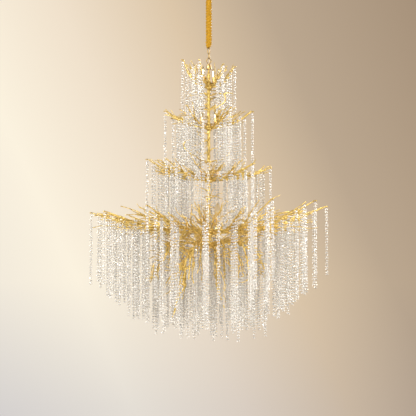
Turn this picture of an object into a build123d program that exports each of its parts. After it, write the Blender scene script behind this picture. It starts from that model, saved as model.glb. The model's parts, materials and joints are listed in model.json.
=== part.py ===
from build123d import *
from math import ceil, cos, hypot, pi, radians, sin, sqrt
import os
import random

# A tiered crystal chandelier: gold branch limbs on one trunk, hung with strings of faceted drops,
# on a chain that runs inside a ruched cloth sleeve.
# Frame: the ceiling is z = 0, the trunk's axis is the Z axis, and the front is towards -Y.

# ---------------------------------------------------------------------------
# Driving dimensions, in millimetres and degrees
# ---------------------------------------------------------------------------
SEAT_GAP = 0.3            # between two pieces of which one rests on the other
BORE_CLEARANCE = 0.15     # on the radius, between a fixed shaft and its bore
SWIVEL_CLEARANCE = 0.3    # on the radius, in the turning loop

# ceiling set
PLATE_RADIUS = 54.0
PLATE_THICKNESS = 2.0
PLATE_SCREW_CIRCLE = 42.0
PLATE_SCREW_COUNT = 3
PLATE_SCREW_HOLE = 2.6
PLATE_CABLE_HOLE = 6.0
PLATE_CABLE_OFFSET = 26.0
BRIDGE_HALF_WIDTH = 20.0
BRIDGE_DROP = 20.0
BRIDGE_STRAP = 18.0
BRIDGE_THICKNESS = 2.5
CANOPY_RADIUS = 66.0
CANOPY_DEPTH = 36.0
CANOPY_WALL = 1.4
CANOPY_SHOULDER = 14.0
NIPPLE_RADIUS = 5.0
NIPPLE_BORE = 3.3
NUT_RADIUS = 8.5
NUT_HEIGHT = 4.0
COLLAR_RADIUS = 12.0
COLLAR_HEIGHT = 5.7
TERMINAL_SIZE = (22.0, 12.0, 11.0)
TERMINAL_PLACE = 33.0

# turning loop under the canopy
BARREL_RADIUS = 11.5
BARREL_WALL = 2.5
BARREL_HEIGHT = 15.4
SWIVEL_NUT_RADIUS = 7.9
SWIVEL_NUT_HEIGHT = 5.0
BAIL_WIRE = 3.6
BAIL_HALF_WIDTH = 9.6
BAIL_DROP = 22.0

# chain
LINK_LENGTH = 33.0
LINK_WIDTH = 14.0
LINK_WIRE = 3.2
CHAIN_LINK_COUNT = 10
LOWER_LINK_LENGTH = 32.0
LOWER_LINK_WIDTH = 15.0
LOWER_LINK_WIRE = 3.6
EYE_HEIGHT = 36.0
EYE_WIDTH = 30.0
EYE_WIRE = 3.6
EYE_CORNER = 5.0

# sleeve over the chain
SLEEVE_START = 88.0
SLEEVE_END = 340.0
SLEEVE_RADIUS = 13.6
SLEEVE_WALL = 1.2
SLEEVE_PUFF = 1.5
SLEEVE_PUFF_COUNT = 14
SLEEVE_MOUTH_LENGTH = 16.0

# cable
CABLE_RADIUS = 1.75
CABLE_BEND = 20.0
CABLE_GAP = 0.3           # between two lengths of cable, end to end
CAP_CABLE_OFFSET = 5.0
CAP_CABLE_HOLE = 2.2

# cap and stem
CAP_RADIUS = 13.5
CAP_TOP_RADIUS = 10.6
CAP_HEIGHT = 22.0
CAP_ROOF = 6.0
CAP_WALL = 1.6
EYE_COLLAR_RADIUS = 4.6
EYE_COLLAR_HEIGHT = 3.0
NECK_RADIUS = 2.85
NECK_LENGTH = 18.0
STEM_RADIUS = 4.5
STEM_BORE = 3.0
STEM_END = 1358.0
WINDOW_WIDTH = 4.6
WINDOW_HEIGHT = 24.0
BARK_RADIUS = 6.2
BARK_KNUCKLE = 1.8
BARK_STEP = 34.0
FINIAL_RADIUS = 11.0
FINIAL_LENGTH = 30.0

# strings of drops
DROP_PITCH = 13.5
STRING_RADIUS = 11.0
STRING_SIDES = 6
STRING_NECK = 1.0
STRING_NECK_LENGTH = 8.0
STRING_SHOULDER = 22.0
STRING_POINT = 14.0
STRING_CLEARANCE = 1.0
SHORTEST_SHARE = 0.55
TRUNK_GAP = (-14.0, 42.0) # where the front strings part, across the axis, so that the trunk shows
COLUMN_START = -32.0      # the main tier's front strings hang in columns, so that the gold shows between
COLUMN_PITCH = 72.0
COLUMN_WIDTH = 34.0
COLUMN_REACH = 330.0      # either side of the axis
COLUMN_DEPTH = 60.0       # in front of the axis

# limbs
KNUCKLE_REACH = 1.3       # half length of a knuckle, in limb radii
KNUCKLE_SWELL = 1.22
BUD_SWELL = 1.3
SHOULDER_LENGTH = 0.8
STUD_SHARE = 0.72         # a limb's stud in its hub, as a share of the limb's radius
SOCKET_SHARE = 0.45       # how deep the stud goes, as a share of the hub's wall
RIM_POINTS = 12           # tried round a twig's foot, and how often its place is halved
HALVINGS = 10

# swinging strings at the limbs' tips
PIN_RADIUS = 2.2
PIN_LENGTH = 13.0
PIN_KNOB = 3.4
PIN_PLACE = 0.38          # where the ring hangs, as a share of the pin
RING_WIRE = 0.8
RING_CLEARANCE = 0.35
SWING_CLEARANCE = 2.0
SWING_ANGLE = 8.0

# lamps
ARM_RADIUS = 3.0
ARM_BORE = 1.3
LEAD_RADIUS = 1.0
SOCKET_HEIGHT = 26.0
SOCKET_WALL = 1.5
CANDLE_SOCKET_RADIUS = 11.0
CANDLE_RADIUS = 17.0
CANDLE_LENGTH = 82.0
CAPSULE_SOCKET_RADIUS = 8.5
CAPSULE_RADIUS = 7.0
CAPSULE_LENGTH = 46.0

# Each tier of limbs. Heights are below the ceiling, at the hub's middle. A limb leaves its hub, rises by
# between rise_low and rise_high, with lean more on the right and as much less on the left, and carries twigs:
# (where it leaves, side, where it ends, spread angle), with both places as shares of the limb's reach. A
# tip's string counts drops rows of crystal, and the others deepen more per 100 mm inwards, up to deepest.
TIERS = {
    "tier1": dict(
        hub_depth=539.0, hub_radius=16.0, hub_height=20.0, row_step=0.0, limbs=6, turn=8.0, reach=142.0,
        shortest=0.80, rise_low=95.0, rise_high=130.0, lean=-15.0, sag=0.10, root=4.0, tip=2.4, wander=5.0,
        twigs=((0.36, 1, 0.80, 24.0), (0.50, -1, 0.90, 24.0)),
        drops=19, deepen=0.0, deepest=19, spacing=14.0, seed=5, inner=0.46,
    ),
    "tier2": dict(
        hub_depth=748.0, hub_radius=16.0, hub_height=20.0, row_step=0.0, limbs=6, turn=0.0, reach=228.0,
        shortest=0.86, rise_low=70.0, rise_high=97.0, lean=-12.5, sag=0.18, root=4.2, tip=2.4, wander=8.0,
        twigs=((0.30, 1, 0.72, 19.0), (0.42, -1, 0.84, 20.0), (0.60, 1, 0.95, 9.0)),
        drops=20, deepen=0.0, deepest=20, spacing=32.0, seed=11, inner=0.36,
    ),
    "tier3": dict(
        hub_depth=1012.0, hub_radius=19.0, hub_height=26.0, row_step=5.0, limbs=8, turn=0.0, reach=318.0,
        shortest=0.86, rise_low=58.0, rise_high=88.0, lean=-23.0, sag=0.12, root=4.4, tip=2.4, wander=10.0,
        twigs=((0.28, 1, 0.66, 13.0), (0.38, -1, 0.80, 14.5), (0.56, 1, 0.92, 8.0)),
        drops=21, deepen=0.0, deepest=21, spacing=38.0, seed=23, inner=0.34,
    ),
    "main": dict(
        hub_depth=1273.0, hub_radius=25.0, hub_height=34.0, row_step=7.5, limbs=12, turn=0.0, reach=596.0,
        shortest=0.90, rise_low=98.0, rise_high=120.0, lean=20.0, sag=0.05, root=5.2, tip=2.5, wander=12.0,
        twigs=((0.22, 1, 0.56, 9.0), (0.30, -1, 0.70, 9.5), (0.44, 1, 0.84, 7.5), (0.55, -1, 0.95, 6.0)),
        drops=26, deepen=3.0, deepest=36, spacing=50.0, seed=31, inner=0.36,
    ),
}

# The drooping limbs under the main tier: two rings, each given as shares of the ring's reach and as drops
# below the hub's middle. A string has at most the ring's drops, and ends about at its lowest level, which is
# measured below the ceiling.
LOWER_HUB = dict(hub_depth=1338.0, hub_radius=20.0, hub_height=28.0, row_step=6.0)
LOWER_RINGS = {
    "outer": dict(
        limbs=6, turn=12.0, reach=322.0, root=4.4, tip=2.6, wander=9.0, seed=41, row=1, drops=30,
        spacing=34.0, lowest=1800.0,
        course=((0.30, -10.0), (0.56, -14.0), (0.80, 4.0), (0.92, 74.0), (0.98, 168.0)),
        twigs=((0.42, 1, 0.78, 18.0), (0.62, -1, 0.98, 13.0)),
    ),
    "inner": dict(
        limbs=5, turn=-4.0, reach=150.0, root=4.2, tip=3.0, wander=6.0, seed=47, row=-1, drops=33,
        spacing=30.0, lowest=1836.0,
        course=((0.42, 6.0), (0.74, 26.0), (0.94, 84.0), (0.98, 150.0), (0.95, 204.0)),
        twigs=(),
    ),
}

# Lamps: (tier, how many, first angle, distance from the axis, kind)
LAMP_RINGS = (
    ("tier1", 2, 38.0, 33.0, "capsule"),
    ("tier2", 2, 30.0, 40.0, "capsule"),
    ("tier3", 2, 22.5, 46.0, "capsule"),
    ("main", 3, -20.0, 47.0, "candle"),
)
LAMP_RISE = {"capsule": 8.0, "candle": 14.0}

# Limbs whose tip carries a swinging string, by tier
SWINGING = {"tier1": (0, 3), "tier2": (0, 3, 4), "tier3": (0, 3, 4, 7), "main": tuple(range(12))}

# ---------------------------------------------------------------------------
# Levels that follow from the driving dimensions
# ---------------------------------------------------------------------------
CANOPY_BOTTOM = -CANOPY_DEPTH
COLLAR_BOTTOM = CANOPY_BOTTOM - SEAT_GAP - COLLAR_HEIGHT
BARREL_TOP = COLLAR_BOTTOM - SEAT_GAP
BARREL_BOTTOM = BARREL_TOP - BARREL_HEIGHT
SWIVEL_NUT_TOP = BARREL_TOP - BARREL_WALL - SEAT_GAP
NIPPLE_BOTTOM = SWIVEL_NUT_TOP - SWIVEL_NUT_HEIGHT - 1.0
NIPPLE_TOP = -BRIDGE_DROP + BRIDGE_THICKNESS + NUT_HEIGHT + 1.0
BAIL_HANG = BARREL_BOTTOM - BAIL_DROP                      # middle of the bail's lowest wire


def next_hang(hang, carrier_wire, length, wire):
    """Middle of a link's lowest wire, when the link hangs over a wire whose middle is at hang."""
    top_wire = hang + (carrier_wire + wire) / 2 + SEAT_GAP
    return top_wire - (length - wire)


TOP_LINK_HANG = next_hang(BAIL_HANG, BAIL_WIRE, LINK_LENGTH, LINK_WIRE)
LINK_HANGS = [TOP_LINK_HANG]
for _ in range(CHAIN_LINK_COUNT):
    LINK_HANGS.append(next_hang(LINK_HANGS[-1], LINK_WIRE, LINK_LENGTH, LINK_WIRE))
CHAIN_HANG = LINK_HANGS[-1]
LOWER_LINK_HANG = next_hang(CHAIN_HANG, LINK_WIRE, LOWER_LINK_LENGTH, LOWER_LINK_WIRE)
EYE_HANG = next_hang(LOWER_LINK_HANG, LOWER_LINK_WIRE, EYE_HEIGHT, EYE_WIRE)
CAP_TOP = EYE_HANG - EYE_WIRE / 2 - EYE_COLLAR_HEIGHT
STEM_TOP = CAP_TOP - CAP_ROOF - SEAT_GAP
WINDOW_TOP = CAP_TOP - NECK_LENGTH - 1.0
LOWER_HUB_BOTTOM = -LOWER_HUB["hub_depth"] - LOWER_HUB["hub_height"] / 2
CHAIN_CABLE_OFFSET = LOWER_LINK_WIRE / 2 + CABLE_RADIUS + SEAT_GAP

# ---------------------------------------------------------------------------
# Small helpers
# ---------------------------------------------------------------------------
LIMB_CAPSULES = []    # (start, end, radius) of every limb, twig and lamp, for clearances
STRING_PLACES = []    # (x, y, top, bottom) of every string
SWING_PLACES = []     # (x, y, top, bottom, angle of its pin) of every string that swings


def cylinder(radius, top, bottom, x=0.0, y=0.0):
    """An upright cylinder between two levels."""
    return Solid.make_cylinder(radius, top - bottom, Plane(origin=(x, y, bottom)))


def pipe(radius, bore, top, bottom, x=0.0, y=0.0):
    return cylinder(radius, top, bottom, x, y) - cylinder(bore, top + 1, bottom - 1, x, y)


def rod(start, end, start_radius, end_radius):
    """A straight round rod, tapered where its two radii differ."""
    line = Vector(*end) - Vector(*start)
    plane = Plane(origin=start, z_dir=line)
    if abs(start_radius - end_radius) < 1e-6:
        return Solid.make_cylinder(start_radius, line.length, plane)
    return Solid.make_cone(start_radius, end_radius, line.length, plane)


def ball(centre, radius):
    return Solid.make_sphere(radius, Plane(origin=centre), -90, 90, 360)


def revolved(profile):
    """The solid that a closed (radius, height) outline makes about the Z axis."""
    outline = Polyline(*[(r, 0, z) for r, z in profile], close=True)
    return revolve(make_face(outline), Axis.Z, 360)


def write(name, *solids):
    """Writes one node."""
    pieces = []
    for solid in solids:
        pieces.extend(solid.solids())
    shape = pieces[0] if len(pieces) == 1 else Compound(children=pieces)
    export_step(shape, "parts/" + name + ".step")


def polar(radius, angle, z):
    return (radius * cos(radians(angle)), radius * sin(radians(angle)), z)


def between(start, end, share):
    return tuple(a + (b - a) * share for a, b in zip(start, end))


def length_of(vector):
    return sqrt(sum(c * c for c in vector))


# ---------------------------------------------------------------------------
# Ceiling set, turning loop, chain and cable
# ---------------------------------------------------------------------------
def ceiling_plate():
    """Steel disc with a strap under it that carries the nipple."""
    disc = cylinder(PLATE_RADIUS, 0, -PLATE_THICKNESS)
    for k in range(PLATE_SCREW_COUNT):
        x, y, _ = polar(PLATE_SCREW_CIRCLE, 90 + 360 * k / PLATE_SCREW_COUNT, 0)
        disc -= cylinder(PLATE_SCREW_HOLE, 1, -PLATE_THICKNESS - 1, x, y)
    disc -= cylinder(PLATE_CABLE_HOLE, 1, -PLATE_THICKNESS - 1, 0, -PLATE_CABLE_OFFSET)
    hanging = (Align.CENTER, Align.CENTER, Align.MAX)
    outer = Box(2 * BRIDGE_HALF_WIDTH, BRIDGE_STRAP, BRIDGE_DROP, align=hanging)
    inner_half_width = BRIDGE_HALF_WIDTH - BRIDGE_THICKNESS
    inner = Box(2 * inner_half_width, BRIDGE_STRAP + 2, BRIDGE_DROP - BRIDGE_THICKNESS, align=hanging)
    hole = cylinder(NIPPLE_RADIUS + BORE_CLEARANCE, 0, -BRIDGE_DROP - 1)
    strap = outer - inner - hole
    write("ceiling_plate", disc + strap)


def ceiling_hardware():
    write(
        "threaded_nipple",
        pipe(NIPPLE_RADIUS, NIPPLE_BORE, NIPPLE_TOP, NIPPLE_BOTTOM),
    )
    nut_bore = NIPPLE_RADIUS + BORE_CLEARANCE
    nut = extrude(RegularPolygon(NUT_RADIUS, 6), NUT_HEIGHT) - Cylinder(nut_bore, 4 * NUT_HEIGHT)
    upper = nut.moved(Location((0, 0, -BRIDGE_DROP + BRIDGE_THICKNESS + SEAT_GAP)))
    lower = nut.moved(Location((0, 0, -BRIDGE_DROP - SEAT_GAP - NUT_HEIGHT)))
    write("bridge_nuts", upper, lower)
    collar = pipe(COLLAR_RADIUS, nut_bore, CANOPY_BOTTOM - SEAT_GAP, COLLAR_BOTTOM)
    write("collar_nut", collar)
    swivel_nut = pipe(SWIVEL_NUT_RADIUS, nut_bore, SWIVEL_NUT_TOP, SWIVEL_NUT_TOP - SWIVEL_NUT_HEIGHT)
    write("swivel_nut", swivel_nut)
    terminal = Box(*TERMINAL_SIZE, align=(Align.CENTER, Align.CENTER, Align.MAX))
    place = Location((0, TERMINAL_PLACE, -PLATE_THICKNESS - SEAT_GAP))
    write("terminal_block", terminal.moved(place))


def canopy():
    """Spun cup that hides the ceiling plate."""
    outer_shoulder = CANOPY_RADIUS - CANOPY_SHOULDER
    profile = (
        (NIPPLE_RADIUS + BORE_CLEARANCE, CANOPY_BOTTOM),
        (outer_shoulder * 0.55, CANOPY_BOTTOM),
        (outer_shoulder, CANOPY_BOTTOM + CANOPY_DEPTH * 0.30),
        (CANOPY_RADIUS, CANOPY_BOTTOM + CANOPY_DEPTH * 0.72),
        (CANOPY_RADIUS, 0),
        (CANOPY_RADIUS - CANOPY_WALL, 0),
        (CANOPY_RADIUS - CANOPY_WALL, CANOPY_BOTTOM + CANOPY_DEPTH * 0.72),
        (outer_shoulder - CANOPY_WALL * 0.6, CANOPY_BOTTOM + CANOPY_DEPTH * 0.30 + CANOPY_WALL),
        (outer_shoulder * 0.55 - CANOPY_WALL * 0.3, CANOPY_BOTTOM + CANOPY_WALL),
        (NIPPLE_RADIUS + BORE_CLEARANCE, CANOPY_BOTTOM + CANOPY_WALL),
    )
    write("canopy", revolved(profile))


def cable(points, radii):
    """A round cable along straight runs joined by tangent arcs."""
    if len(points) == 2:
        return rod(points[0], points[1], CABLE_RADIUS, CABLE_RADIUS)
    path = FilletPolyline(*points, radius=radii)
    section = Plane(origin=path @ 0, z_dir=path % 0) * Circle(CABLE_RADIUS)
    return sweep(section, path=path)


def cables():
    """The supply cable, in the lengths that the pieces it passes through hold."""
    terminal_edge = TERMINAL_PLACE - TERMINAL_SIZE[1] / 2 - SEAT_GAP
    run_level = -PLATE_THICKNESS - TERMINAL_SIZE[2] / 2
    supply = cable(
        ((0, terminal_edge, run_level), (0, 0, run_level), (0, 0, NIPPLE_BOTTOM)),
        [CABLE_RADIUS * 2.6],
    )
    write("supply_cable", supply)
    beside_chain = (CHAIN_CABLE_OFFSET, CHAIN_CABLE_OFFSET)
    through_cap = (CAP_CABLE_OFFSET, CAP_CABLE_OFFSET)
    bends = [CABLE_BEND, CABLE_BEND]
    loop_course = (
        (0, 0, NIPPLE_BOTTOM - CABLE_GAP),
        (0, 0, BARREL_BOTTOM - 2),
        (*beside_chain, BAIL_HANG + 9),
        (*beside_chain, TOP_LINK_HANG),
    )
    write("loop_cable", cable(loop_course, bends))
    chain_start = (*beside_chain, TOP_LINK_HANG - CABLE_GAP)
    write("chain_cable", cable((chain_start, (*beside_chain, -SLEEVE_END)), None))
    cap_entry = CAP_TOP - 2
    tail_course = (
        (*beside_chain, -SLEEVE_END - CABLE_GAP),
        (*beside_chain, EYE_HANG + 20),
        (*through_cap, EYE_HANG + 6),
        (*through_cap, cap_entry),
    )
    write("cable_tail", cable(tail_course, bends))
    stem_course = (
        (*through_cap, cap_entry - CABLE_GAP),
        (*through_cap, WINDOW_TOP - 2),
        (0, 0, WINDOW_TOP - WINDOW_HEIGHT + 3),
        (0, 0, -LOWER_HUB["hub_depth"]),
    )
    write("stem_cable", cable(stem_course, bends))


def link(length, width, wire, hang, across_x):
    """A chain link whose lowest wire has its middle at hang, in the XZ plane or the YZ plane."""
    bend = (width - wire) / 2
    half = (length - width) / 2
    face = (0, -1, 0) if across_x else (1, 0, 0)
    side = Vector(1, 0, 0) if across_x else Vector(0, 1, 0)
    middle = hang + (length - wire) / 2
    wires = [
        Solid.make_torus(bend, wire / 2, Plane((0, 0, middle + half), side, face), 0, 360, 180),
        Solid.make_torus(bend, wire / 2, Plane((0, 0, middle - half), -side, face), 0, 360, 180),
    ]
    for sign in (-1, 1):
        place = side * bend * sign
        wires.append(cylinder(wire / 2, middle + half, middle - half, place.X, place.Y))
    return wires[0].fuse(*wires[1:])


def turning_loop():
    """Barrel that turns on the nipple's nut, with a bail under it."""
    barrel = pipe(BARREL_RADIUS, NIPPLE_RADIUS + SWIVEL_CLEARANCE, BARREL_TOP, BARREL_BOTTOM)
    cavity = cylinder(SWIVEL_NUT_RADIUS + SWIVEL_CLEARANCE, BARREL_TOP - BARREL_WALL, BARREL_BOTTOM - 1)
    barrel -= cavity
    bend_level = BAIL_HANG + BAIL_HALF_WIDTH
    loop = Solid.make_torus(
        BAIL_HALF_WIDTH, BAIL_WIRE / 2, Plane((0, 0, bend_level), (0, -1, 0), (1, 0, 0)), 0, 360, 180
    )
    legs = []
    for sign in (-1, 1):
        leg = cylinder(BAIL_WIRE / 2, BARREL_BOTTOM + BARREL_WALL, bend_level, 0, sign * BAIL_HALF_WIDTH)
        legs.append(leg - cavity)
    write("canopy_loop", barrel.fuse(loop, *legs))


def chain():
    write("top_link", link(LINK_LENGTH, LINK_WIDTH, LINK_WIRE, TOP_LINK_HANG, True))
    links = []
    for k in range(CHAIN_LINK_COUNT):
        links.append(link(LINK_LENGTH, LINK_WIDTH, LINK_WIRE, LINK_HANGS[k + 1], k % 2 == 1))
    write("chain_links", *links)
    write("lower_link", link(LOWER_LINK_LENGTH, LOWER_LINK_WIDTH, LOWER_LINK_WIRE, LOWER_LINK_HANG, False))


def sleeve():
    """Ruched cloth tube: a row of soft puffs with a bore for the chain and its cable."""
    puff = (SLEEVE_END - SLEEVE_START) / SLEEVE_PUFF_COUNT
    mouth = hypot(CHAIN_CABLE_OFFSET, CHAIN_CABLE_OFFSET) + CABLE_RADIUS + SEAT_GAP
    outer = []
    for k in range(2 * SLEEVE_PUFF_COUNT + 1):
        depth = SLEEVE_START + puff * k / 2
        radius = SLEEVE_RADIUS + SLEEVE_WALL + (SLEEVE_PUFF if k % 2 else 0)
        drawn = max(0.0, 1 - (SLEEVE_END - depth) / SLEEVE_MOUTH_LENGTH) * (SLEEVE_RADIUS - mouth)
        outer.append((radius - drawn, 0, -depth))
    outside = Polyline(*outer)
    inside = Polyline(
        outer[-1],
        (mouth, 0, -SLEEVE_END),
        (SLEEVE_RADIUS, 0, -SLEEVE_END + SLEEVE_MOUTH_LENGTH),
        (SLEEVE_RADIUS, 0, -SLEEVE_START),
        outer[0],
    )
    face = make_face([*outside.edges(), *inside.edges()])
    write("chain_sleeve", revolve(face, Axis.Z, 360))


def hanging_eye():
    """Diamond-shaped loop with a collar and a threaded neck that screws into the stem."""
    half_height = (EYE_HEIGHT - EYE_WIRE) / 2
    half_width = (EYE_WIDTH - EYE_WIRE) / 2
    middle = EYE_HANG + half_height
    tight = EYE_CORNER / half_width
    rise = half_height - EYE_CORNER
    corner = (rise + sqrt(rise**2 - (1 - tight**2) * (rise**2 - EYE_CORNER**2))) / (1 - tight**2)
    corners = ((0, 0, corner), (half_width, 0, 0), (0, 0, -corner), (-half_width, 0, 0))
    path = FilletPolyline(*corners, radius=EYE_CORNER, close=True)
    section = Plane(origin=path @ 0, z_dir=path % 0) * Circle(EYE_WIRE / 2)
    loop = sweep(section, path=path).moved(Location((0, 0, middle)))
    collar = cylinder(EYE_COLLAR_RADIUS, CAP_TOP + EYE_COLLAR_HEIGHT, CAP_TOP + SEAT_GAP)
    collar_root = cylinder(EYE_COLLAR_RADIUS * 0.7, EYE_HANG, CAP_TOP + EYE_COLLAR_HEIGHT - 1)
    neck = cylinder(NECK_RADIUS, CAP_TOP + 1, CAP_TOP - NECK_LENGTH)
    write("hanging_eye", loop.fuse(collar, collar_root, neck))


def top_cap():
    """Bell over the stem's upper end, with a hole for the cable."""
    mouth = CAP_TOP - CAP_HEIGHT
    roof = CAP_TOP - CAP_ROOF
    profile = (
        (NECK_RADIUS + BORE_CLEARANCE, CAP_TOP),
        (CAP_TOP_RADIUS, CAP_TOP),
        (CAP_TOP_RADIUS + 1.4, roof),
        (CAP_RADIUS, mouth),
        (CAP_RADIUS - CAP_WALL, mouth),
        (CAP_TOP_RADIUS, roof),
        (NECK_RADIUS + BORE_CLEARANCE, roof),
    )
    hole = cylinder(CAP_CABLE_HOLE, CAP_TOP + 1, roof - 1, CAP_CABLE_OFFSET, CAP_CABLE_OFFSET)
    write("top_cap", revolved(profile) - hole)


def stem():
    """The tube that carries every tier, with a window where the cable goes in."""
    tube = pipe(STEM_RADIUS, STEM_BORE, STEM_TOP, -STEM_END)
    window = Box(2 * STEM_RADIUS, WINDOW_WIDTH, WINDOW_HEIGHT, align=(Align.MIN, Align.CENTER, Align.MAX))
    window = window.rotate(Axis.Z, 45).moved(Location((0, 0, WINDOW_TOP)))
    write("stem_tube", tube - window)
    hub_bottom = LOWER_HUB_BOTTOM - SEAT_GAP
    finial_profile = (
        (STEM_RADIUS + BORE_CLEARANCE, hub_bottom),
        (FINIAL_RADIUS, hub_bottom),
        (FINIAL_RADIUS, hub_bottom - FINIAL_LENGTH * 0.25),
        (FINIAL_RADIUS * 0.7, hub_bottom - FINIAL_LENGTH * 0.55),
        (0, hub_bottom - FINIAL_LENGTH),
        (0, -STEM_END - SEAT_GAP),
        (STEM_RADIUS + BORE_CLEARANCE, -STEM_END - SEAT_GAP),
    )
    write("bottom_finial", revolved(finial_profile))


def bark_sleeves():
    """Cast bark over the stem: knuckled lengths between the hubs."""
    hubs = [(spec["hub_depth"], spec["hub_height"]) for spec in (*TIERS.values(), LOWER_HUB)]
    tops = [WINDOW_HEIGHT - WINDOW_TOP] + [depth + height / 2 + SEAT_GAP for depth, height in hubs[:-1]]
    bottoms = [depth - height / 2 - SEAT_GAP for depth, height in hubs]
    bore = STEM_RADIUS + BORE_CLEARANCE
    sleeves = []
    for top, bottom in zip(tops, bottoms):
        knuckles = max(2, ceil((bottom - top) / BARK_STEP))
        profile = [(bore, -top)]
        for k in range(2 * knuckles + 1):
            level = top + (bottom - top) * k / (2 * knuckles)
            profile.append((BARK_RADIUS + (BARK_KNUCKLE if k % 2 else 0), -level))
        profile.append((bore, -bottom))
        sleeves.append(revolved(profile))
    write("trunk_bark", *sleeves)


# ---------------------------------------------------------------------------
# Limbs and twigs
# ---------------------------------------------------------------------------
def segment_gap(p, q, a, b):
    """Shortest distance between the segments pq and ab."""
    u = [q[i] - p[i] for i in range(3)]
    v = [b[i] - a[i] for i in range(3)]
    w = [p[i] - a[i] for i in range(3)]
    uu = sum(c * c for c in u)
    vv = sum(c * c for c in v)
    uv = sum(x * y for x, y in zip(u, v))
    uw = sum(x * y for x, y in zip(u, w))
    vw = sum(x * y for x, y in zip(v, w))
    spread = uu * vv - uv * uv
    s = min(max((uv * vw - vv * uw) / spread, 0), 1) if spread > 1e-9 else 0.0
    t = (uv * s + vw) / vv if vv > 1e-9 else 0.0
    t = min(max(t, 0), 1)
    s = min(max((uv * t - uw) / uu, 0), 1) if uu > 1e-9 else 0.0
    return length_of([w[i] + u[i] * s - v[i] * t for i in range(3)])


def unit(vector):
    size = length_of(vector)
    return tuple(c / size for c in vector)


def knuckled(points, radii):
    """Stations along a limb, (point, radius, direction), with a swollen knuckle at each bend."""
    stations = []
    ways = [unit([b - a for a, b in zip(p, q)]) for p, q in zip(points, points[1:])]
    for k, (point, radius) in enumerate(zip(points, radii)):
        if k == 0 or k == len(points) - 1:
            stations.append((point, radius, ways[0] if k == 0 else ways[-1]))
            continue
        back = tuple(c - w * KNUCKLE_REACH * radius for c, w in zip(point, ways[k - 1]))
        on = tuple(c + w * KNUCKLE_REACH * radius for c, w in zip(point, ways[k]))
        middle = unit([a + b for a, b in zip(ways[k - 1], ways[k])])
        stations.append((back, radius, ways[k - 1]))
        stations.append((point, radius * KNUCKLE_SWELL, middle))
        stations.append((on, radius, ways[k]))
    return stations


def bent_rod(stations, angle):
    """A round rod through stations; angle is the way that it spreads from the trunk."""
    side = Vector(cos(radians(angle + 90)), sin(radians(angle + 90)), 0)
    rings = []
    for point, radius, way in stations:
        normal = Vector(*way)
        across = (side - normal * side.dot(normal)).normalized()
        plane = Plane(origin=point, x_dir=across, z_dir=normal)
        rings.append(Wire.make_circle(radius, plane))
    return Solid.make_loft(rings, ruled=True)


def note_limb(points, radii):
    """Keeps a limb's stretches, so that strings hang clear of them."""
    for k in range(len(points) - 1):
        LIMB_CAPSULES.append((points[k], points[k + 1], radii[k] * KNUCKLE_SWELL))


def bud(point, radius, way):
    """Stations of a rounded end."""
    near = tuple(c + w * radius * 0.9 for c, w in zip(point, way))
    far = tuple(c + w * radius * 2.2 for c, w in zip(point, way))
    return [(near, radius * BUD_SWELL, way), (far, radius * 0.5, way)]


def twig_solid(points, radii, angle):
    note_limb(points, radii)
    stations = knuckled(points, radii)
    return bent_rod(stations + bud(points[-1], radii[-1], stations[-1][2]), angle)


def limb_start(spec, angle, row):
    """Stations of the stud in the hub and the shoulder outside it."""
    outward = (cos(radians(angle)), sin(radians(angle)), 0.0)
    level = -spec["hub_depth"] + row * spec["row_step"]
    radius = stud_radius(spec["root"])
    face = spec["hub_radius"] + SEAT_GAP
    return [
        (polar(spec["hub_radius"] - socket_depth(spec) + SEAT_GAP, angle, level), radius, outward),
        (polar(face, angle, level), radius, outward),
        (polar(face + SHOULDER_LENGTH, angle, level), spec["root"], outward),
    ]


def pin_end(start, angle):
    """Stations of the plain pin at a limb's tip, and of its knob."""
    outward = (cos(radians(angle)), sin(radians(angle)), 0.0)
    stations = []
    for along, radius in (
        (0.5, PIN_RADIUS), (PIN_LENGTH - PIN_KNOB, PIN_RADIUS), (PIN_LENGTH - PIN_KNOB * 0.6, PIN_KNOB),
        (PIN_LENGTH - PIN_KNOB * 0.2, PIN_KNOB), (PIN_LENGTH, PIN_KNOB * 0.5),
    ):
        place = tuple(c + w * along for c, w in zip(start, outward))
        stations.append((place, radius, outward))
    return stations


def tapered(root, tip, count):
    return [root + (tip - root) * k / (count - 1) for k in range(count)]


def at_share(points, shares, share):
    """The point at a share of the reach, the stretch that it is on, and the way along it."""
    for k in range(len(points) - 1):
        if share <= shares[k + 1] or k == len(points) - 2:
            way = (share - shares[k]) / (shares[k + 1] - shares[k])
            return between(points[k], points[k + 1], way), k, way
    return points[-1], len(points) - 2, 1.0


def twig(points, shares, radii, spec, rng, limb_angle):
    """Points and radii of a twig that leaves a limb beside it, one seat gap away from its bark."""
    start_share, side, end_share, spread = spec["twig"]
    origin, stretch, way = at_share(points, shares, start_share)
    limb_radius = radii[stretch] + (radii[stretch + 1] - radii[stretch]) * way
    level, _, _ = at_share(points, shares, end_share)
    end_angle = limb_angle + side * (spread + rng.uniform(-1.0, 1.0))
    lift = rng.uniform(-4.0, 14.0)
    end = polar(end_share * spec["reach_now"], end_angle, level[2] + lift)
    root = limb_radius * 0.66
    tip = min(spec["tip"], root * 0.8)
    knee = between(origin, end, 0.36)
    bend = spec["wander"] * 0.5
    knee = (knee[0], knee[1], knee[2] + rng.uniform(-bend, bend))
    far = tuple(c + rng.uniform(-bend, bend) for c in between(origin, end, 0.70))
    start = between(origin, knee, leaving_share(origin, knee, root, points, radii))
    return [start, knee, far, end], tapered(root, tip, 4)


def bark_radius(points, radii, stretch, along):
    """A limb's radius at a place along one of its stretches, knuckles included."""
    run = length_of([b - a for a, b in zip(points[stretch], points[stretch + 1])])
    radius = radii[stretch] + (radii[stretch + 1] - radii[stretch]) * along / run
    for bend, away in ((stretch, along), (stretch + 1, run - along)):
        if 0 < bend < len(points) - 1:
            rest = max(0.0, 1 - away / (KNUCKLE_REACH * radii[bend]))
            radius = max(radius, radii[bend] * (1 + (KNUCKLE_SWELL - 1) * rest))
    return radius


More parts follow.
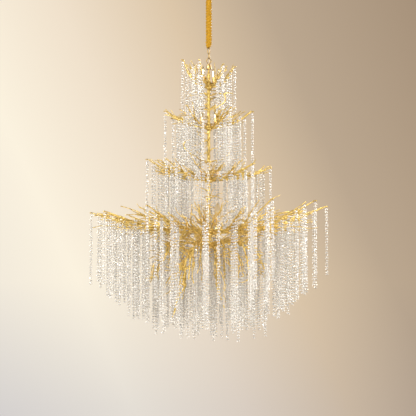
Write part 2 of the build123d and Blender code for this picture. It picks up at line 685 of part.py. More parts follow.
def bark_gap(place, points, radii):
    """Distance from a place to a limb's bark."""
    nearest = []
    for k in range(len(points) - 1):
        start, end = points[k], points[k + 1]
        line = [b - a for a, b in zip(start, end)]
        run = length_of(line)
        along = sum((c - a) * w for c, a, w in zip(place, start, line)) / run
        along = min(max(along, 0.0), run)
        foot = between(start, end, along / run)
        away = length_of([c - f for c, f in zip(place, foot)])
        nearest.append(away - bark_radius(points, radii, k, along))
    return min(nearest)


def leaving_share(origin, knee, root, points, radii):
    """How far along its first stretch a twig starts, so that its foot is one seat gap off the bark."""
    line = Vector(*knee) - Vector(*origin)
    plane = Plane(origin=origin, z_dir=line)
    low, high = 0.0, 0.95
    for _ in range(HALVINGS):
        share = (low + high) / 2
        rim = []
        for k in range(RIM_POINTS):
            turn = 2 * pi * k / RIM_POINTS
            spot = plane.from_local_coords(Vector(root * cos(turn), root * sin(turn), line.length * share))
            rim.append(bark_gap((spot.X, spot.Y, spot.Z), points, radii))
        if min(rim) > SEAT_GAP:
            high = share
        else:
            low = share
    return high


def hub_root(spec, angle, row):
    """Where a limb's bare length starts, outside its shoulder."""
    level = -spec["hub_depth"] + row * spec["row_step"]
    return polar(spec["hub_radius"] + SEAT_GAP + SHOULDER_LENGTH, angle, level)


def socket_depth(spec):
    return (spec["hub_radius"] - STEM_RADIUS) * SOCKET_SHARE


def stud_radius(root):
    return root * STUD_SHARE


def rising_limbs(name, spec):
    """The limbs, twigs and tip pins of one tier, and the places that strings can hang from."""
    rng = random.Random(spec["seed"])
    solids, spots, pins, studs = [], [], [], []
    for k in range(spec["limbs"]):
        row = 1 if k % 2 else -1
        angle = spec["turn"] + 360 * k / spec["limbs"] + rng.uniform(-1.5, 1.5)
        reach = spec["reach"] * rng.uniform(spec["shortest"], 1.0)
        if k * 2 % spec["limbs"] == 0:
            reach = spec["reach"]
        rise = rng.uniform(spec["rise_low"], spec["rise_high"]) + spec["lean"] * cos(radians(angle))
        root_point = hub_root(spec, angle, row)
        pin_share = 1 - PIN_LENGTH / reach
        root_share = (spec["hub_radius"] + SEAT_GAP) / reach
        shares = [root_share, 0.26, 0.50, 0.76, pin_share]
        lifts = [0, spec["sag"] * 0.45, spec["sag"] * 1.2, 0.5 + spec["sag"] * 0.5, 1.0]
        points = [root_point]
        for share, lift in zip(shares[1:], lifts[1:]):
            sway = rng.uniform(-1, 1) * spec["wander"] if share < pin_share else 0
            x, y, z = polar(reach * share, angle, -spec["hub_depth"] + rise * lift)
            side = radians(angle + 90)
            points.append((x + cos(side) * sway, y + sin(side) * sway, z))
        radii = tapered(spec["root"], spec["tip"], len(points))
        start = points[-1]
        tip = polar(reach, angle, start[2])
        stations = limb_start(spec, angle, row) + knuckled(points, radii)[1:] + pin_end(start, angle)
        solids.append(bent_rod(stations, angle))
        note_limb(points, radii)
        LIMB_CAPSULES.append((start, tip, PIN_KNOB))
        studs.append((angle, row))
        pins.append((between(start, tip, PIN_PLACE), angle, k in SWINGING[name]))
        spots += hanging_spots(points, radii, spec["inner"] * reach, spec["spacing"])
        for one in spec["twigs"]:
            details = dict(spec, twig=one, reach_now=reach)
            twig_points, twig_radii = twig(points, shares, radii, details, rng, angle)
            solids.append(twig_solid(twig_points, twig_radii, angle))
            spots += hanging_spots(twig_points, twig_radii, spec["inner"] * reach, spec["spacing"])
    write(name + "_branches", *solids)
    return spots, pins, studs


def drooping_limbs():
    """Limbs that leave the lowest hub, arch over and hang down."""
    solids, spots, studs = [], [], []
    for ring in LOWER_RINGS.values():
        spec = dict(LOWER_HUB, **ring)
        rng = random.Random(spec["seed"])
        for k in range(spec["limbs"]):
            angle = spec["turn"] + 360 * k / spec["limbs"] + rng.uniform(-2, 2)
            reach = spec["reach"] * rng.uniform(0.90, 1.0)
            root_point = hub_root(spec, angle, spec["row"])
            points, shares = [root_point], [(spec["hub_radius"] + SEAT_GAP) / reach]
            for share, drop in spec["course"]:
                sway = rng.uniform(-1, 1) * spec["wander"]
                side = radians(angle + 90)
                x, y, z = polar(reach * share, angle, -spec["hub_depth"] - drop)
                points.append((x + cos(side) * sway, y + sin(side) * sway, z))
                shares.append(share)
            radii = tapered(spec["root"], spec["tip"], len(points))
            stations = limb_start(spec, angle, spec["row"]) + knuckled(points, radii)[1:]
            stations += bud(points[-1], radii[-1], stations[-1][2])
            solids.append(bent_rod(stations, angle))
            note_limb(points, radii)
            studs.append((angle, spec["row"]))
            found = hanging_spots(points, radii, 0.30 * reach, spec["spacing"])
            for one in spec["twigs"]:
                details = dict(spec, twig=one, reach_now=reach)
                twig_points, twig_radii = twig(points, shares, radii, details, rng, angle)
                solids.append(twig_solid(twig_points, twig_radii, angle))
                found += hanging_spots(twig_points, twig_radii, 0, spec["spacing"])
            spots += [(*spot, drops_above(spec, spot[0][2])) for spot in found]
    write("lower_branches", *solids)
    return spots, studs


def hanging_spots(points, radii, inner, spacing):
    """Places under a limb, one spacing apart, that a string can hang from: (point, drop to the bark)."""
    spots = []
    carried = spacing * 0.5
    for k in range(len(points) - 1):
        start, end = points[k], points[k + 1]
        run = length_of([b - a for a, b in zip(start, end)])
        flat = hypot(end[0] - start[0], end[1] - start[1])
        if flat < 0.5 * run:
            continue
        slope = abs(end[2] - start[2]) / flat
        while carried < run:
            x, y, z = between(start, end, carried / run)
            depth = bark_radius(points, radii, k, carried) * hypot(1, slope)
            past_foot = k > 0 or carried > depth
            short_of_end = k < len(points) - 2 or run - carried > depth
            if hypot(x, y) > inner and past_foot and short_of_end:
                spots.append(((x, y, z), depth + STRING_NECK * slope + SEAT_GAP))
            carried += spacing
        carried -= run
    return spots


def hub(spec, sockets):
    """A turned boss on the stem, with a blind socket for each limb."""
    top = -spec["hub_depth"] + spec["hub_height"] / 2
    bottom = top - spec["hub_height"]
    boss = pipe(spec["hub_radius"], STEM_RADIUS + BORE_CLEARANCE, top, bottom)
    holes = []
    for angle, row, root in sockets:
        level = -spec["hub_depth"] + row * spec["row_step"]
        radius = stud_radius(root) + BORE_CLEARANCE
        inner = polar(spec["hub_radius"] - socket_depth(spec), angle, level)
        holes.append(rod(inner, polar(spec["hub_radius"] + 5, angle, level), radius, radius))
    return boss.cut(*holes)


# ---------------------------------------------------------------------------
# Lamps
# ---------------------------------------------------------------------------
def lamps():
    """Lamps that stand on short arms over the hubs, each with its socket, arm and lead."""
    arms, leads, sockets, glasses = [], [], [], {"candle": [], "capsule": []}
    for tier, count, first, distance, kind in LAMP_RINGS:
        spec = TIERS[tier]
        hub_top = -spec["hub_depth"] + spec["hub_height"] / 2
        socket_radius = CANDLE_SOCKET_RADIUS if kind == "candle" else CAPSULE_SOCKET_RADIUS
        foot = spec["hub_radius"] - ARM_RADIUS - 1.5
        base = hub_top + LAMP_RISE[kind] + ARM_RADIUS
        for k in range(count):
            angle = first + 360 * k / count
            low = polar(foot, angle, hub_top + SEAT_GAP)
            knee = polar(foot, angle, base)
            out = polar(distance, angle, base)
            head = polar(distance, angle, base + ARM_RADIUS + 2)
            outer = [rod(low, knee, ARM_RADIUS, ARM_RADIUS), ball(knee, ARM_RADIUS)]
            outer += [rod(knee, out, ARM_RADIUS, ARM_RADIUS), ball(out, ARM_RADIUS)]
            outer.append(rod(out, head, ARM_RADIUS, ARM_RADIUS))
            bore = [rod(polar(foot, angle, low[2] - 1), knee, ARM_BORE, ARM_BORE), ball(knee, ARM_BORE)]
            bore += [rod(knee, out, ARM_BORE, ARM_BORE), ball(out, ARM_BORE)]
            bore.append(rod(out, polar(distance, angle, head[2] + 1), ARM_BORE, ARM_BORE))
            arms.append(outer[0].fuse(*outer[1:]).cut(*bore))
            lead = [rod(low, knee, LEAD_RADIUS, LEAD_RADIUS), ball(knee, LEAD_RADIUS)]
            lead += [rod(knee, out, LEAD_RADIUS, LEAD_RADIUS), ball(out, LEAD_RADIUS)]
            lead.append(rod(out, head, LEAD_RADIUS, LEAD_RADIUS))
            leads.append(lead[0].fuse(*lead[1:]))
            x, y, socket_bottom = head[0], head[1], head[2] + SEAT_GAP
            socket_top = socket_bottom + SOCKET_HEIGHT
            cup = cylinder(socket_radius, socket_top, socket_bottom, x, y)
            well = cylinder(socket_radius - SOCKET_WALL, socket_top + 1, socket_bottom + SOCKET_WALL, x, y)
            sockets.append(cup - well)
            glass_bottom = socket_bottom + SOCKET_WALL + SEAT_GAP
            glass = candle_lamp() if kind == "candle" else capsule_lamp()
            glasses[kind].append(glass.moved(Location((x, y, glass_bottom))))
            widest = CANDLE_RADIUS if kind == "candle" else socket_radius
            tall = CANDLE_LENGTH if kind == "candle" else CAPSULE_LENGTH
            LIMB_CAPSULES.append(((x, y, socket_bottom), (x, y, socket_top + tall), widest))
            LIMB_CAPSULES.append((low, out, ARM_RADIUS))
    write("lamp_arms", *arms)
    write("lamp_leads", *leads)
    write("lamp_sockets", *sockets)
    write("candle_lamps", *glasses["candle"])
    write("capsule_lamps", *glasses["capsule"])


def candle_lamp():
    """Candle lamp with its foot at z = 0."""
    foot = CANDLE_SOCKET_RADIUS - SOCKET_WALL - SEAT_GAP
    neck = SOCKET_HEIGHT - SOCKET_WALL
    profile = (
        (0, 0), (foot, 0), (foot, neck), (CANDLE_RADIUS * 0.86, neck + CANDLE_LENGTH * 0.16),
        (CANDLE_RADIUS, neck + CANDLE_LENGTH * 0.34), (CANDLE_RADIUS * 0.80, neck + CANDLE_LENGTH * 0.60),
        (CANDLE_RADIUS * 0.42, neck + CANDLE_LENGTH * 0.83), (0, neck + CANDLE_LENGTH),
    )
    return revolved(profile)


def capsule_lamp():
    """Small capsule lamp with its foot at z = 0."""
    foot = min(CAPSULE_RADIUS, CAPSULE_SOCKET_RADIUS - SOCKET_WALL) - SEAT_GAP
    neck = SOCKET_HEIGHT - SOCKET_WALL
    profile = (
        (0, 0), (foot, 0), (foot, neck), (CAPSULE_RADIUS, neck + 3),
        (CAPSULE_RADIUS, neck + CAPSULE_LENGTH - 9), (CAPSULE_RADIUS * 0.6, neck + CAPSULE_LENGTH - 3),
        (0, neck + CAPSULE_LENGTH),
    )
    return revolved(profile)


# ---------------------------------------------------------------------------
# Strings of drops
# ---------------------------------------------------------------------------
def string_solid(length):
    """A string's outer shape, hanging from z = 0: a wire neck, a shoulder and a pointed end."""
    def ring(radius, z):
        return (Plane(origin=(0, 0, z)) * RegularPolygon(radius, STRING_SIDES)).wire()

    return Solid.make_loft(
        [
            Vertex(0, 0, -length),
            ring(STRING_RADIUS, -length + STRING_POINT),
            ring(STRING_RADIUS, -STRING_SHOULDER),
            ring(STRING_NECK, -STRING_NECK_LENGTH),
            ring(STRING_NECK, 0),
        ],
        ruled=True,
    )


def string_length(drops):
    return STRING_NECK_LENGTH + drops * DROP_PITCH


def string_is_clear(x, y, top, bottom):
    """Whether a string hung here stays clear of every limb, lamp and other string."""
    for other_x, other_y, other_top, other_bottom in STRING_PLACES:
        if hypot(x - other_x, y - other_y) < 2 * STRING_RADIUS + STRING_CLEARANCE:
            if bottom < other_top and top > other_bottom:
                return False
    for other_x, other_y, other_top, other_bottom, angle in SWING_PLACES:
        dx, dy = x - other_x, y - other_y
        turn = radians(angle)
        out = abs(dx * cos(turn) + dy * sin(turn))
        aside = abs(dy * cos(turn) - dx * sin(turn))
        swept = (other_top - max(bottom, other_bottom)) * sin(radians(SWING_ANGLE))
        room = 2 * STRING_RADIUS + SWING_CLEARANCE
        if top > other_bottom and bottom < other_top and out < room and aside < room + swept:
            return False
    body_top = (x, y, top - STRING_SHOULDER)
    body_end = (x, y, bottom + STRING_POINT)
    narrow_places = (
        (top - STRING_NECK_LENGTH, STRING_NECK),
        (top - (STRING_SHOULDER + STRING_NECK_LENGTH) / 2, (STRING_RADIUS + STRING_NECK) / 2),
        (bottom, STRING_CLEARANCE),
    )
    for start, end, radius in LIMB_CAPSULES:
        reach = radius + STRING_RADIUS + STRING_CLEARANCE
        if x < min(start[0], end[0]) - reach or x > max(start[0], end[0]) + reach:
            continue
        if y < min(start[1], end[1]) - reach or y > max(start[1], end[1]) + reach:
            continue
        if segment_gap(body_top, body_end, start, end) < reach:
            return False
        for level, width in narrow_places:
            place = (x, y, level)
            if segment_gap(place, place, start, end) < radius + width + SEAT_GAP:
                return False
    return True


def swing_is_clear(x, y, top, length, angle):
    """Whether a tip string stays clear of every limb at both ends of its swing."""
    side = radians(angle + 90)
    for swing in (radians(-SWING_ANGLE), radians(SWING_ANGLE)):
        aside = length * sin(swing)
        end = (x + aside * cos(side), y + aside * sin(side), top - length * cos(swing))
        start = between((x, y, top), end, 3 * STRING_SHOULDER / length)
        for low, high, radius in LIMB_CAPSULES:
            if segment_gap(start, end, low, high) < radius + STRING_RADIUS + STRING_CLEARANCE:
                return False
    return True


def drops_at(spec, reach):
    """Drops on a tier's string at a distance from the axis."""
    return round(min(spec["deepest"], spec["drops"] + spec["deepen"] * (spec["reach"] - reach) / 100))


def drops_above(spec, level):
    """Drops on a string of a drooping ring that hangs from a level."""
    return min(spec["drops"], int((level + spec["lowest"]) / DROP_PITCH))


def parts_for_trunk(x, y, z):
    """Whether a string here would hide the trunk above the main tier."""
    return y < 0 and TRUNK_GAP[0] < x < TRUNK_GAP[1] and z > -TIERS["main"]["hub_depth"] + 10


def between_columns(x, y):
    """Whether a string of the main tier would hang between two columns, which stand opposite gaps at the back."""
    if abs(y) < COLUMN_DEPTH or abs(x) > COLUMN_REACH:
        return False
    in_front_column = (x - COLUMN_START) % COLUMN_PITCH <= COLUMN_WIDTH
    return in_front_column == (y > 0)


def hang_strings(name, spots, rng, solids):
    """Hangs a string from each spot that has room, shorter where something is in its way."""
    for (x, y, z), depth, nominal in spots:
        if parts_for_trunk(x, y, z):
            continue
        top = z - depth
        count = nominal + rng.choice((-2, -1, -1, 0, 0, 1))
        while count >= nominal * SHORTEST_SHARE:
            length = string_length(count)
            if string_is_clear(x, y, top, top - length):
                solids.append(string_solid(length).moved(Location((x, y, top))))
                STRING_PLACES.append((x, y, top, top - length))
                break
            count -= 2
    write(name, *solids)
    print(name, len(solids))


def swinging_string(place, angle, length):
    """A string on a ring that runs round the pin at a limb's tip."""
    ring_radius = PIN_RADIUS + RING_CLEARANCE + RING_WIRE
    x, y, z = place
    pin_line = Vector(cos(radians(angle)), sin(radians(angle)), 0)
    ring = Solid.make_torus(ring_radius, RING_WIRE, Plane(origin=place, z_dir=pin_line))
    top = z - ring_radius - RING_WIRE / 4
    body = string_solid(length).rotate(Axis.Z, angle).moved(Location((x, y, top)))
    return body.fuse(ring)


def tip_strings(name, pins, drops, rng):
    """The strings at the limbs' tips: a body of its own for each one that swings."""
    fixed, number = [], 0
    ring_radius = PIN_RADIUS + RING_CLEARANCE + RING_WIRE
    for place, angle, swings in pins:
        count = drops + rng.choice((-1, 0, 0, 1))
        x, y, z = place
        top = z - ring_radius - RING_WIRE / 4
        while not string_is_clear(x, y, top - 3 * STRING_SHOULDER, top - string_length(count)):
            count -= 1
        while swings and not swing_is_clear(x, y, top, string_length(count), angle):
            count -= 1
        length = string_length(count)
        STRING_PLACES.append((x, y, top, top - length))
        if swings:
            SWING_PLACES.append((x, y, top, top - length, angle))
            number += 1
            write(f"{name}_tip_string_{number:02d}", swinging_string(place, angle, length))
            print("JOINT", name, number, round(x, 3), round(y, 3), round(z, 3), round(angle, 3))
        else:
            top = z - PIN_RADIUS - SEAT_GAP
            fixed.append(string_solid(length).moved(Location((x, y, top))))
    return fixed


# ---------------------------------------------------------------------------
# The whole object
# ---------------------------------------------------------------------------
def main():
    os.makedirs("parts", exist_ok=True)
    ceiling_plate()
    ceiling_hardware()
    canopy()
    turning_loop()
    chain()
    sleeve()
    hanging_eye()
    top_cap()
    stem()
    bark_sleeves()
    cables()
    lamps()
    hubs, spots_of, pins_of = [], {}, {}
    for name, spec in TIERS.items():
        spots, pins_of[name], studs = rising_limbs(name, spec)
        spots_of[name] = [(place, depth, drops_at(spec, hypot(*place[:2]))) for place, depth in spots]
        hubs.append(hub(spec, [(angle, row, spec["root"]) for angle, row in studs]))
    spots_of["main"] = [spot for spot in spots_of["main"] if not between_columns(*spot[0][:2])]
    lower_spots, lower_studs = drooping_limbs()
    hubs.append(hub(LOWER_HUB, [(angle, row, LOWER_RINGS["outer"]["root"]) for angle, row in lower_studs]))
    write("branch_hubs", *hubs)
    rng = random.Random(77)
    fixed = {}
    for name, spec in TIERS.items():
        fixed[name] = tip_strings(name, pins_of[name], spec["drops"], rng)
    for name in TIERS:
        hang_strings(name + "_strings", spots_of[name], rng, fixed[name])
    hang_strings("lower_strings", lower_spots, rng, [])


main()
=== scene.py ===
import json
import random
from math import atan2, ceil, cos, pi, radians, sin
from typing import NamedTuple

import bmesh
import bpy
from bpy.props import FloatProperty, FloatVectorProperty, IntProperty, PointerProperty
from bpy.types import Operator, Panel, PropertyGroup
from mathutils import Matrix, Vector, noise

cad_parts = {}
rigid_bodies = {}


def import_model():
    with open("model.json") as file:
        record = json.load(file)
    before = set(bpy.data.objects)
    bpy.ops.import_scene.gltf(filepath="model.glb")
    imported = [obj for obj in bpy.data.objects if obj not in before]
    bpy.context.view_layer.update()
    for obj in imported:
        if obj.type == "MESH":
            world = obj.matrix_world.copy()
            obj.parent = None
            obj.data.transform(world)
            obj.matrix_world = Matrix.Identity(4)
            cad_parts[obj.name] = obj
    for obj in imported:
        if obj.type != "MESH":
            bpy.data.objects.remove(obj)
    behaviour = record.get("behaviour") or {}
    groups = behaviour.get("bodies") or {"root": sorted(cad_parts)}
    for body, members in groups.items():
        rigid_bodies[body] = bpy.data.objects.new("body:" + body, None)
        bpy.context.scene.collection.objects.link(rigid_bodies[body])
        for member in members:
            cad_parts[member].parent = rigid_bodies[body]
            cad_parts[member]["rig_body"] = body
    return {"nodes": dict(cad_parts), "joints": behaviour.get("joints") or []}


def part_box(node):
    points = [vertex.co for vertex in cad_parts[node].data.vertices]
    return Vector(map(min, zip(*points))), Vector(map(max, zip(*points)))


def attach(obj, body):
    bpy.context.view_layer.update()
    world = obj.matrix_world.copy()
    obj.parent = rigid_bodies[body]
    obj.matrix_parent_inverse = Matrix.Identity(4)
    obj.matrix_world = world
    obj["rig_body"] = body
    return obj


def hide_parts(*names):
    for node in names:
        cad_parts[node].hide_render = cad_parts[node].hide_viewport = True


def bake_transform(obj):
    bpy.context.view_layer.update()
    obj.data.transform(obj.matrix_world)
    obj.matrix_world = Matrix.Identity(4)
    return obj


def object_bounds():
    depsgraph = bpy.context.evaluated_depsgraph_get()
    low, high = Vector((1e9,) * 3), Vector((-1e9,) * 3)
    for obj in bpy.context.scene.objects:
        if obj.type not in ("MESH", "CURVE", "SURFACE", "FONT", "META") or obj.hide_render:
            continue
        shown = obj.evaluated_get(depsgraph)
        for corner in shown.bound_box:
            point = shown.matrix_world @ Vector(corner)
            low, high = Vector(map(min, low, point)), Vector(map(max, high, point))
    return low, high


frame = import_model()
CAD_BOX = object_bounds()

bl_info = {
    "name": "Tiered crystal chandelier",
    "version": (1, 0, 0),
    "blender": (4, 5, 0),
    "location": "View3D > Sidebar > Chandelier",
    "description": "Dresses the chandelier's frame with cast gold, crystal strings and a satin sleeve",
    "category": "Add Mesh",
}

# Metres throughout. The ceiling is z = 0 and the front is towards -Y, as in the frame.
NODES = frame["nodes"]
BODY_OF = {name: node["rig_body"] for name, node in NODES.items()}
PIN_JOINTS = {joint["child"]: joint for joint in frame["joints"] if joint["child"] in NODES}
TIERS = ("tier1", "tier2", "tier3", "main", "lower")
TIP_STRINGS = sorted(name for name in NODES if "tip_string" in name)
MERGE = 1e-6  # corners that lie closer than this are one corner


# ---------------------------------------------------------------------------
# Sizes and colours that a user would change
# ---------------------------------------------------------------------------
def length(name, description, default, smallest=0.0):
    return FloatProperty(name=name, description=description, default=default, min=smallest, unit="LENGTH")


def colour(name, description, default):
    return FloatVectorProperty(
        name=name, description=description, default=default, size=3, min=0.0, max=1.0, subtype="COLOR"
    )


def angle(name, description, degrees):
    return FloatProperty(name=name, description=description, default=radians(degrees), subtype="ANGLE")


def count(name, description, default, smallest):
    return IntProperty(name=name, description=description, default=default, min=smallest)


class CrystalSettings(PropertyGroup):
    drop_length: length("Drop length", "Length of one faceted drop", 0.0135, 0.001)
    drop_width: length("Drop width", "Widest part of one faceted drop", 0.0072, 0.001)
    drop_thickness: length("Drop thickness", "Thickness of one faceted drop", 0.0052, 0.001)
    pitch: length("Pitch", "Distance between two rows of drops on a string", 0.0135, 0.001)
    neck: length("Neck", "Bare wire above the first row of drops", 0.0080)
    lean: angle("Lean", "How far a drop leans away from its wire", 36.0)
    around: count("Drops in a row", "Drops round the wire in each row", 3, 1)
    wire: length("Wire", "Radius of the wire that the drops hang on", 0.0004, 0.0001)
    tint: colour("Tint", "Colour of the crystal", (0.97, 0.955, 0.925))


class GoldSettings(PropertyGroup):
    cell: length("Cell", "Size of the cells in which the branches are cast", 0.0017, 0.0005)
    lump: length("Lump", "Height of the lumps of the bark", 0.0011)
    lump_spacing: length("Lump spacing", "Distance between two lumps of the bark", 0.011, 0.001)
    vine: length("Vine", "Radius of the twigs that climb the trunk", 0.0019, 0.0005)
    vine_reach: length("Vine reach", "Distance of the climbing twigs from the trunk's axis", 0.0062, 0.001)
    bright: colour("Bright leaf", "Colour of the raised gold", (0.95, 0.715, 0.235))
    # Deep leaf: painted shade, the dark gold that random patches of the bark are given
    leaf_painted_shade: colour("Deep leaf", "Colour of the gold in the hollows", (0.36, 0.22, 0.038))


class SleeveSettings(PropertyGroup):
    radius: length("Radius", "Radius of the sleeve between its folds", 0.0138, 0.005)
    fold: length("Fold", "Depth of the lengthwise folds", 0.0015)
    folds: count("Folds", "Lengthwise folds round the sleeve", 11, 3)
    ruche: length("Ruche", "Depth of the gathers across the sleeve", 0.0013)
    ruches: count("Ruches", "Gathers along the sleeve", 17, 2)
    wall: length("Wall", "Thickness of the cloth with its hem", 0.0006, 0.0001)
    cut_width: length("Cut width", "Width of the cloth before it was sewn into a tube", 0.095)
    cut_length: length("Cut length", "Length of the cloth before it was gathered", 0.320)
    cloth: colour("Cloth", "Colour of the satin", (0.37, 0.195, 0.013))
    # Crease: painted shade, laid in lengthwise streaks over the cloth
    crease_painted_shade: colour("Crease", "Colour of the satin in its creases", (0.17, 0.075, 0.004))


LOWEST = -10.0  # for places that may lie below the ceiling or left of the trunk


class StageSettings(PropertyGroup):
    eye_distance: length("Distance", "Distance from the trunk to the camera", 5.0, 1.0)
    eye_aside: length("Aside", "Camera to the right of the trunk", -0.004, LOWEST)
    eye_level: length("Eye level", "Height of the camera", -1.52, LOWEST)
    pitch_up: angle("Pitch", "How far the camera looks up", 4.2)
    focal: FloatProperty(name="Focal length", description="Focal length in frame widths", default=1000 / 416)
    floor_level: length("Floor", "Height of the floor", -2.9, LOWEST)
    floor_radius: length("Floor radius", "Radius of the pale floor", 2.4, 1.0)
    floor_tint: colour("Floor tint", "Colour of the floor", (0.80, 0.74, 0.66))


# ---------------------------------------------------------------------------
# Meshes and pieces
# ---------------------------------------------------------------------------
def mesh_from(name, bm, smooth):
    """Turns a bmesh into a mesh and frees it."""
    mesh = bpy.data.meshes.new(name)
    bm.to_mesh(mesh)
    bm.free()
    if smooth:
        mesh.shade_smooth()
    else:
        mesh.shade_flat()
    return mesh


def linked(name, data):
    """A new object in the scene."""
    item = bpy.data.objects.new(name, data)
    bpy.context.scene.collection.objects.link(item)
    return item


def place(name, mesh, material, slot, body=None, stands_for=()):
    """Puts a finished mesh in the scene as a piece of the object."""
    piece = linked(name, mesh)
    mesh.materials.clear()
    mesh.materials.append(material)
    if body:
        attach(piece, body)
    if stands_for:
        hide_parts(*stands_for)
    return piece


def merged_copy(node):
    """A copy of a frame node's mesh, with its loose triangles joined."""
    bm = bmesh.new()
    bm.from_mesh(NODES[node].data)
    bmesh.ops.remove_doubles(bm, verts=bm.verts, dist=MERGE)
    return bm


def shells(bm):
    """The separate closed shells of a mesh, each as a list of places."""
    seen, found = set(), []
    for first in bm.verts:
        if first in seen:
            continue
        seen.add(first)
        shell, waiting = [], [first]
        while waiting:
            vert = waiting.pop()
            shell.append(vert.co.copy())
            for edge in vert.link_edges:
                other = edge.other_vert(vert)
                if other not in seen:
                    seen.add(other)
                    waiting.append(other)
        found.append(shell)
    return found


def baked(piece):
    """The mesh of an object with its modifiers applied; the object is removed."""
    graph = bpy.context.evaluated_depsgraph_get()
    mesh = bpy.data.meshes.new_from_object(piece.evaluated_get(graph))
    bpy.data.objects.remove(piece)
    return mesh


def tube_along(courses, sides=3):
    """Round tapering tubes along smooth lines. Each course is a list of (place, radius)."""
    curve = bpy.data.curves.new("course", "CURVE")
    curve.dimensions = "3D"
    curve.bevel_depth = 1.0
    curve.bevel_resolution = sides
    curve.use_fill_caps = True
    curve.resolution_u = 5
    for course in courses:
        spline = curve.splines.new("NURBS")
        spline.points.add(len(course) - 1)
        for point, (spot, radius) in zip(spline.points, course):
            point.co = (*spot, 1.0)
            point.radius = radius
        spline.use_endpoint_u = True
        spline.order_u = 3
    mesh = baked(linked("course", curve))
    bpy.data.curves.remove(curve)
    return mesh


# ---------------------------------------------------------------------------
# Finishes
# ---------------------------------------------------------------------------
class NodeTree:
    """A tree of shader nodes that is built up one layer at a time."""

    def __init__(self, owner):
        owner.use_nodes = True
        self.nodes = owner.node_tree.nodes
        self.links = owner.node_tree.links

    def ramp(self, factor, *stops):
        """Colours along a factor, from stops of (position, colour)."""
        node = self.nodes.new("ShaderNodeValToRGB")
        elements = node.color_ramp.elements
        while len(elements) < len(stops):
            elements.new(0.5)
        for element, (position, tint) in zip(elements, stops):
            element.position = position
            element.color = (*tint, 1.0)
        self.links.new(factor, node.inputs["Fac"])
        return node.outputs["Color"]


class Finish(NodeTree):
    """A material whose patterns lie on the piece's own places."""

    def __init__(self, name, roughness, metallic=0.0):
        self.material = bpy.data.materials.new(name)
        super().__init__(self.material)
        self.shader = self.nodes["Principled BSDF"]
        self.constant("Roughness", roughness)
        self.constant("Metallic", metallic)
        self.place = self.nodes.new("ShaderNodeTexCoord").outputs["Object"]

    def stretched(self, scale):
        mapping = self.nodes.new("ShaderNodeMapping")
        mapping.inputs["Scale"].default_value = scale
        self.links.new(self.place, mapping.inputs["Vector"])
        return mapping.outputs["Vector"]

    def noise(self, scale, detail=3.0, place=None, distortion=0.0):
        node = self.nodes.new("ShaderNodeTexNoise")
        node.inputs["Scale"].default_value = scale
        node.inputs["Detail"].default_value = detail
        node.inputs["Distortion"].default_value = distortion
        self.links.new(place or self.place, node.inputs["Vector"])
        return node.outputs["Fac"]

    def cells(self, scale):
        node = self.nodes.new("ShaderNodeTexVoronoi")
        node.inputs["Scale"].default_value = scale
        self.links.new(self.place, node.inputs["Vector"])
        return node.outputs["Distance"]

    def between(self, factor, low, high):
        node = self.nodes.new("ShaderNodeMapRange")
        node.inputs["To Min"].default_value = low
        node.inputs["To Max"].default_value = high
        self.links.new(factor, node.inputs["Value"])
        return node.outputs["Result"]

    def colour(self, output):
        self.links.new(output, self.shader.inputs["Base Color"])

    def roughness(self, output):
        self.links.new(output, self.shader.inputs["Roughness"])

    def bump(self, height, depth, strength=1.0):
        """Adds a relief on top of those that the finish already has."""
        node = self.nodes.new("ShaderNodeBump")
        node.inputs["Distance"].default_value = depth
        node.inputs["Strength"].default_value = strength
        self.links.new(height, node.inputs["Height"])
        normal = self.shader.inputs["Normal"]
        if normal.is_linked:
            self.links.new(normal.links[0].from_socket, node.inputs["Normal"])
        self.links.new(node.outputs["Normal"], normal)

    def constant(self, socket, value):
        self.shader.inputs[socket].default_value = value


def scaled(tint, share):
    return tuple(min(1.0, part * share) for part in tint)


def gold_leaf():
    """Gilded cast bark: random patches that run from painted shade to a paler gold, and a fine grain."""
    gold = bpy.context.scene.chandelier_gold
    bright, leaf_painted_shade = tuple(gold.bright), tuple(gold.leaf_painted_shade)
    finish = Finish("gold_leaf", 0.3, 0.78)
    patches = finish.noise(95.0, 5.0, distortion=0.6)
    # Random patches run from painted shade, through the gold, to a paler gold
    painted_shade_to_pale_gold = ((0.33, leaf_painted_shade), (0.47, scaled(bright, 0.78)), (0.60, bright), (0.74, scaled(bright, 1.10)))
    finish.colour(finish.ramp(patches, *painted_shade_to_pale_gold))
    finish.roughness(finish.between(finish.noise(260.0), 0.20, 0.46))
    finish.bump(finish.noise(420.0, 4.0), 0.0009, 0.8)
    finish.bump(finish.cells(900.0), 0.0003, 0.5)
    return finish.material


def polished_gold(name, tint, brushing, roughness):
    """Plated metal with the faint marks of its polishing."""
    finish = Finish(name, roughness, 1.0)
    marks = finish.noise(120.0, 4.0, finish.stretched(brushing))
    finish.colour(finish.ramp(marks, (0.25, scaled(tint, 0.82)), (0.75, tint)))
    finish.roughness(finish.between(marks, roughness * 0.7, roughness * 1.5))
    finish.bump(marks, 0.0002, 0.35)
    return finish.material


def zinc_steel():
    finish = Finish("zinc_steel", 0.35, 1.0)
    spangle = finish.cells(220.0)
    finish.colour(finish.ramp(spangle, (0.0, (0.52, 0.53, 0.54)), (1.0, (0.72, 0.73, 0.74))))
    finish.roughness(finish.between(finish.noise(300.0), 0.28, 0.48))
    return finish.material


def cut_crystal():
    """Clear cut glass with a slightly milky body, as dense rows of small drops look."""
    crystal = bpy.context.scene.chandelier_crystal
    tint = tuple(crystal.tint)
    finish = Finish("cut_crystal", 0.04)
    shade = finish.noise(140.0, 2.0)
    finish.colour(finish.ramp(shade, (0.35, scaled(tint, 0.90)), (0.62, tint)))
    finish.roughness(finish.between(finish.noise(600.0), 0.02, 0.09))
    finish.constant("Transmission Weight", 0.50)
    finish.constant("IOR", 1.58)
    finish.constant("Specular IOR Level", 0.7)
    return finish.material


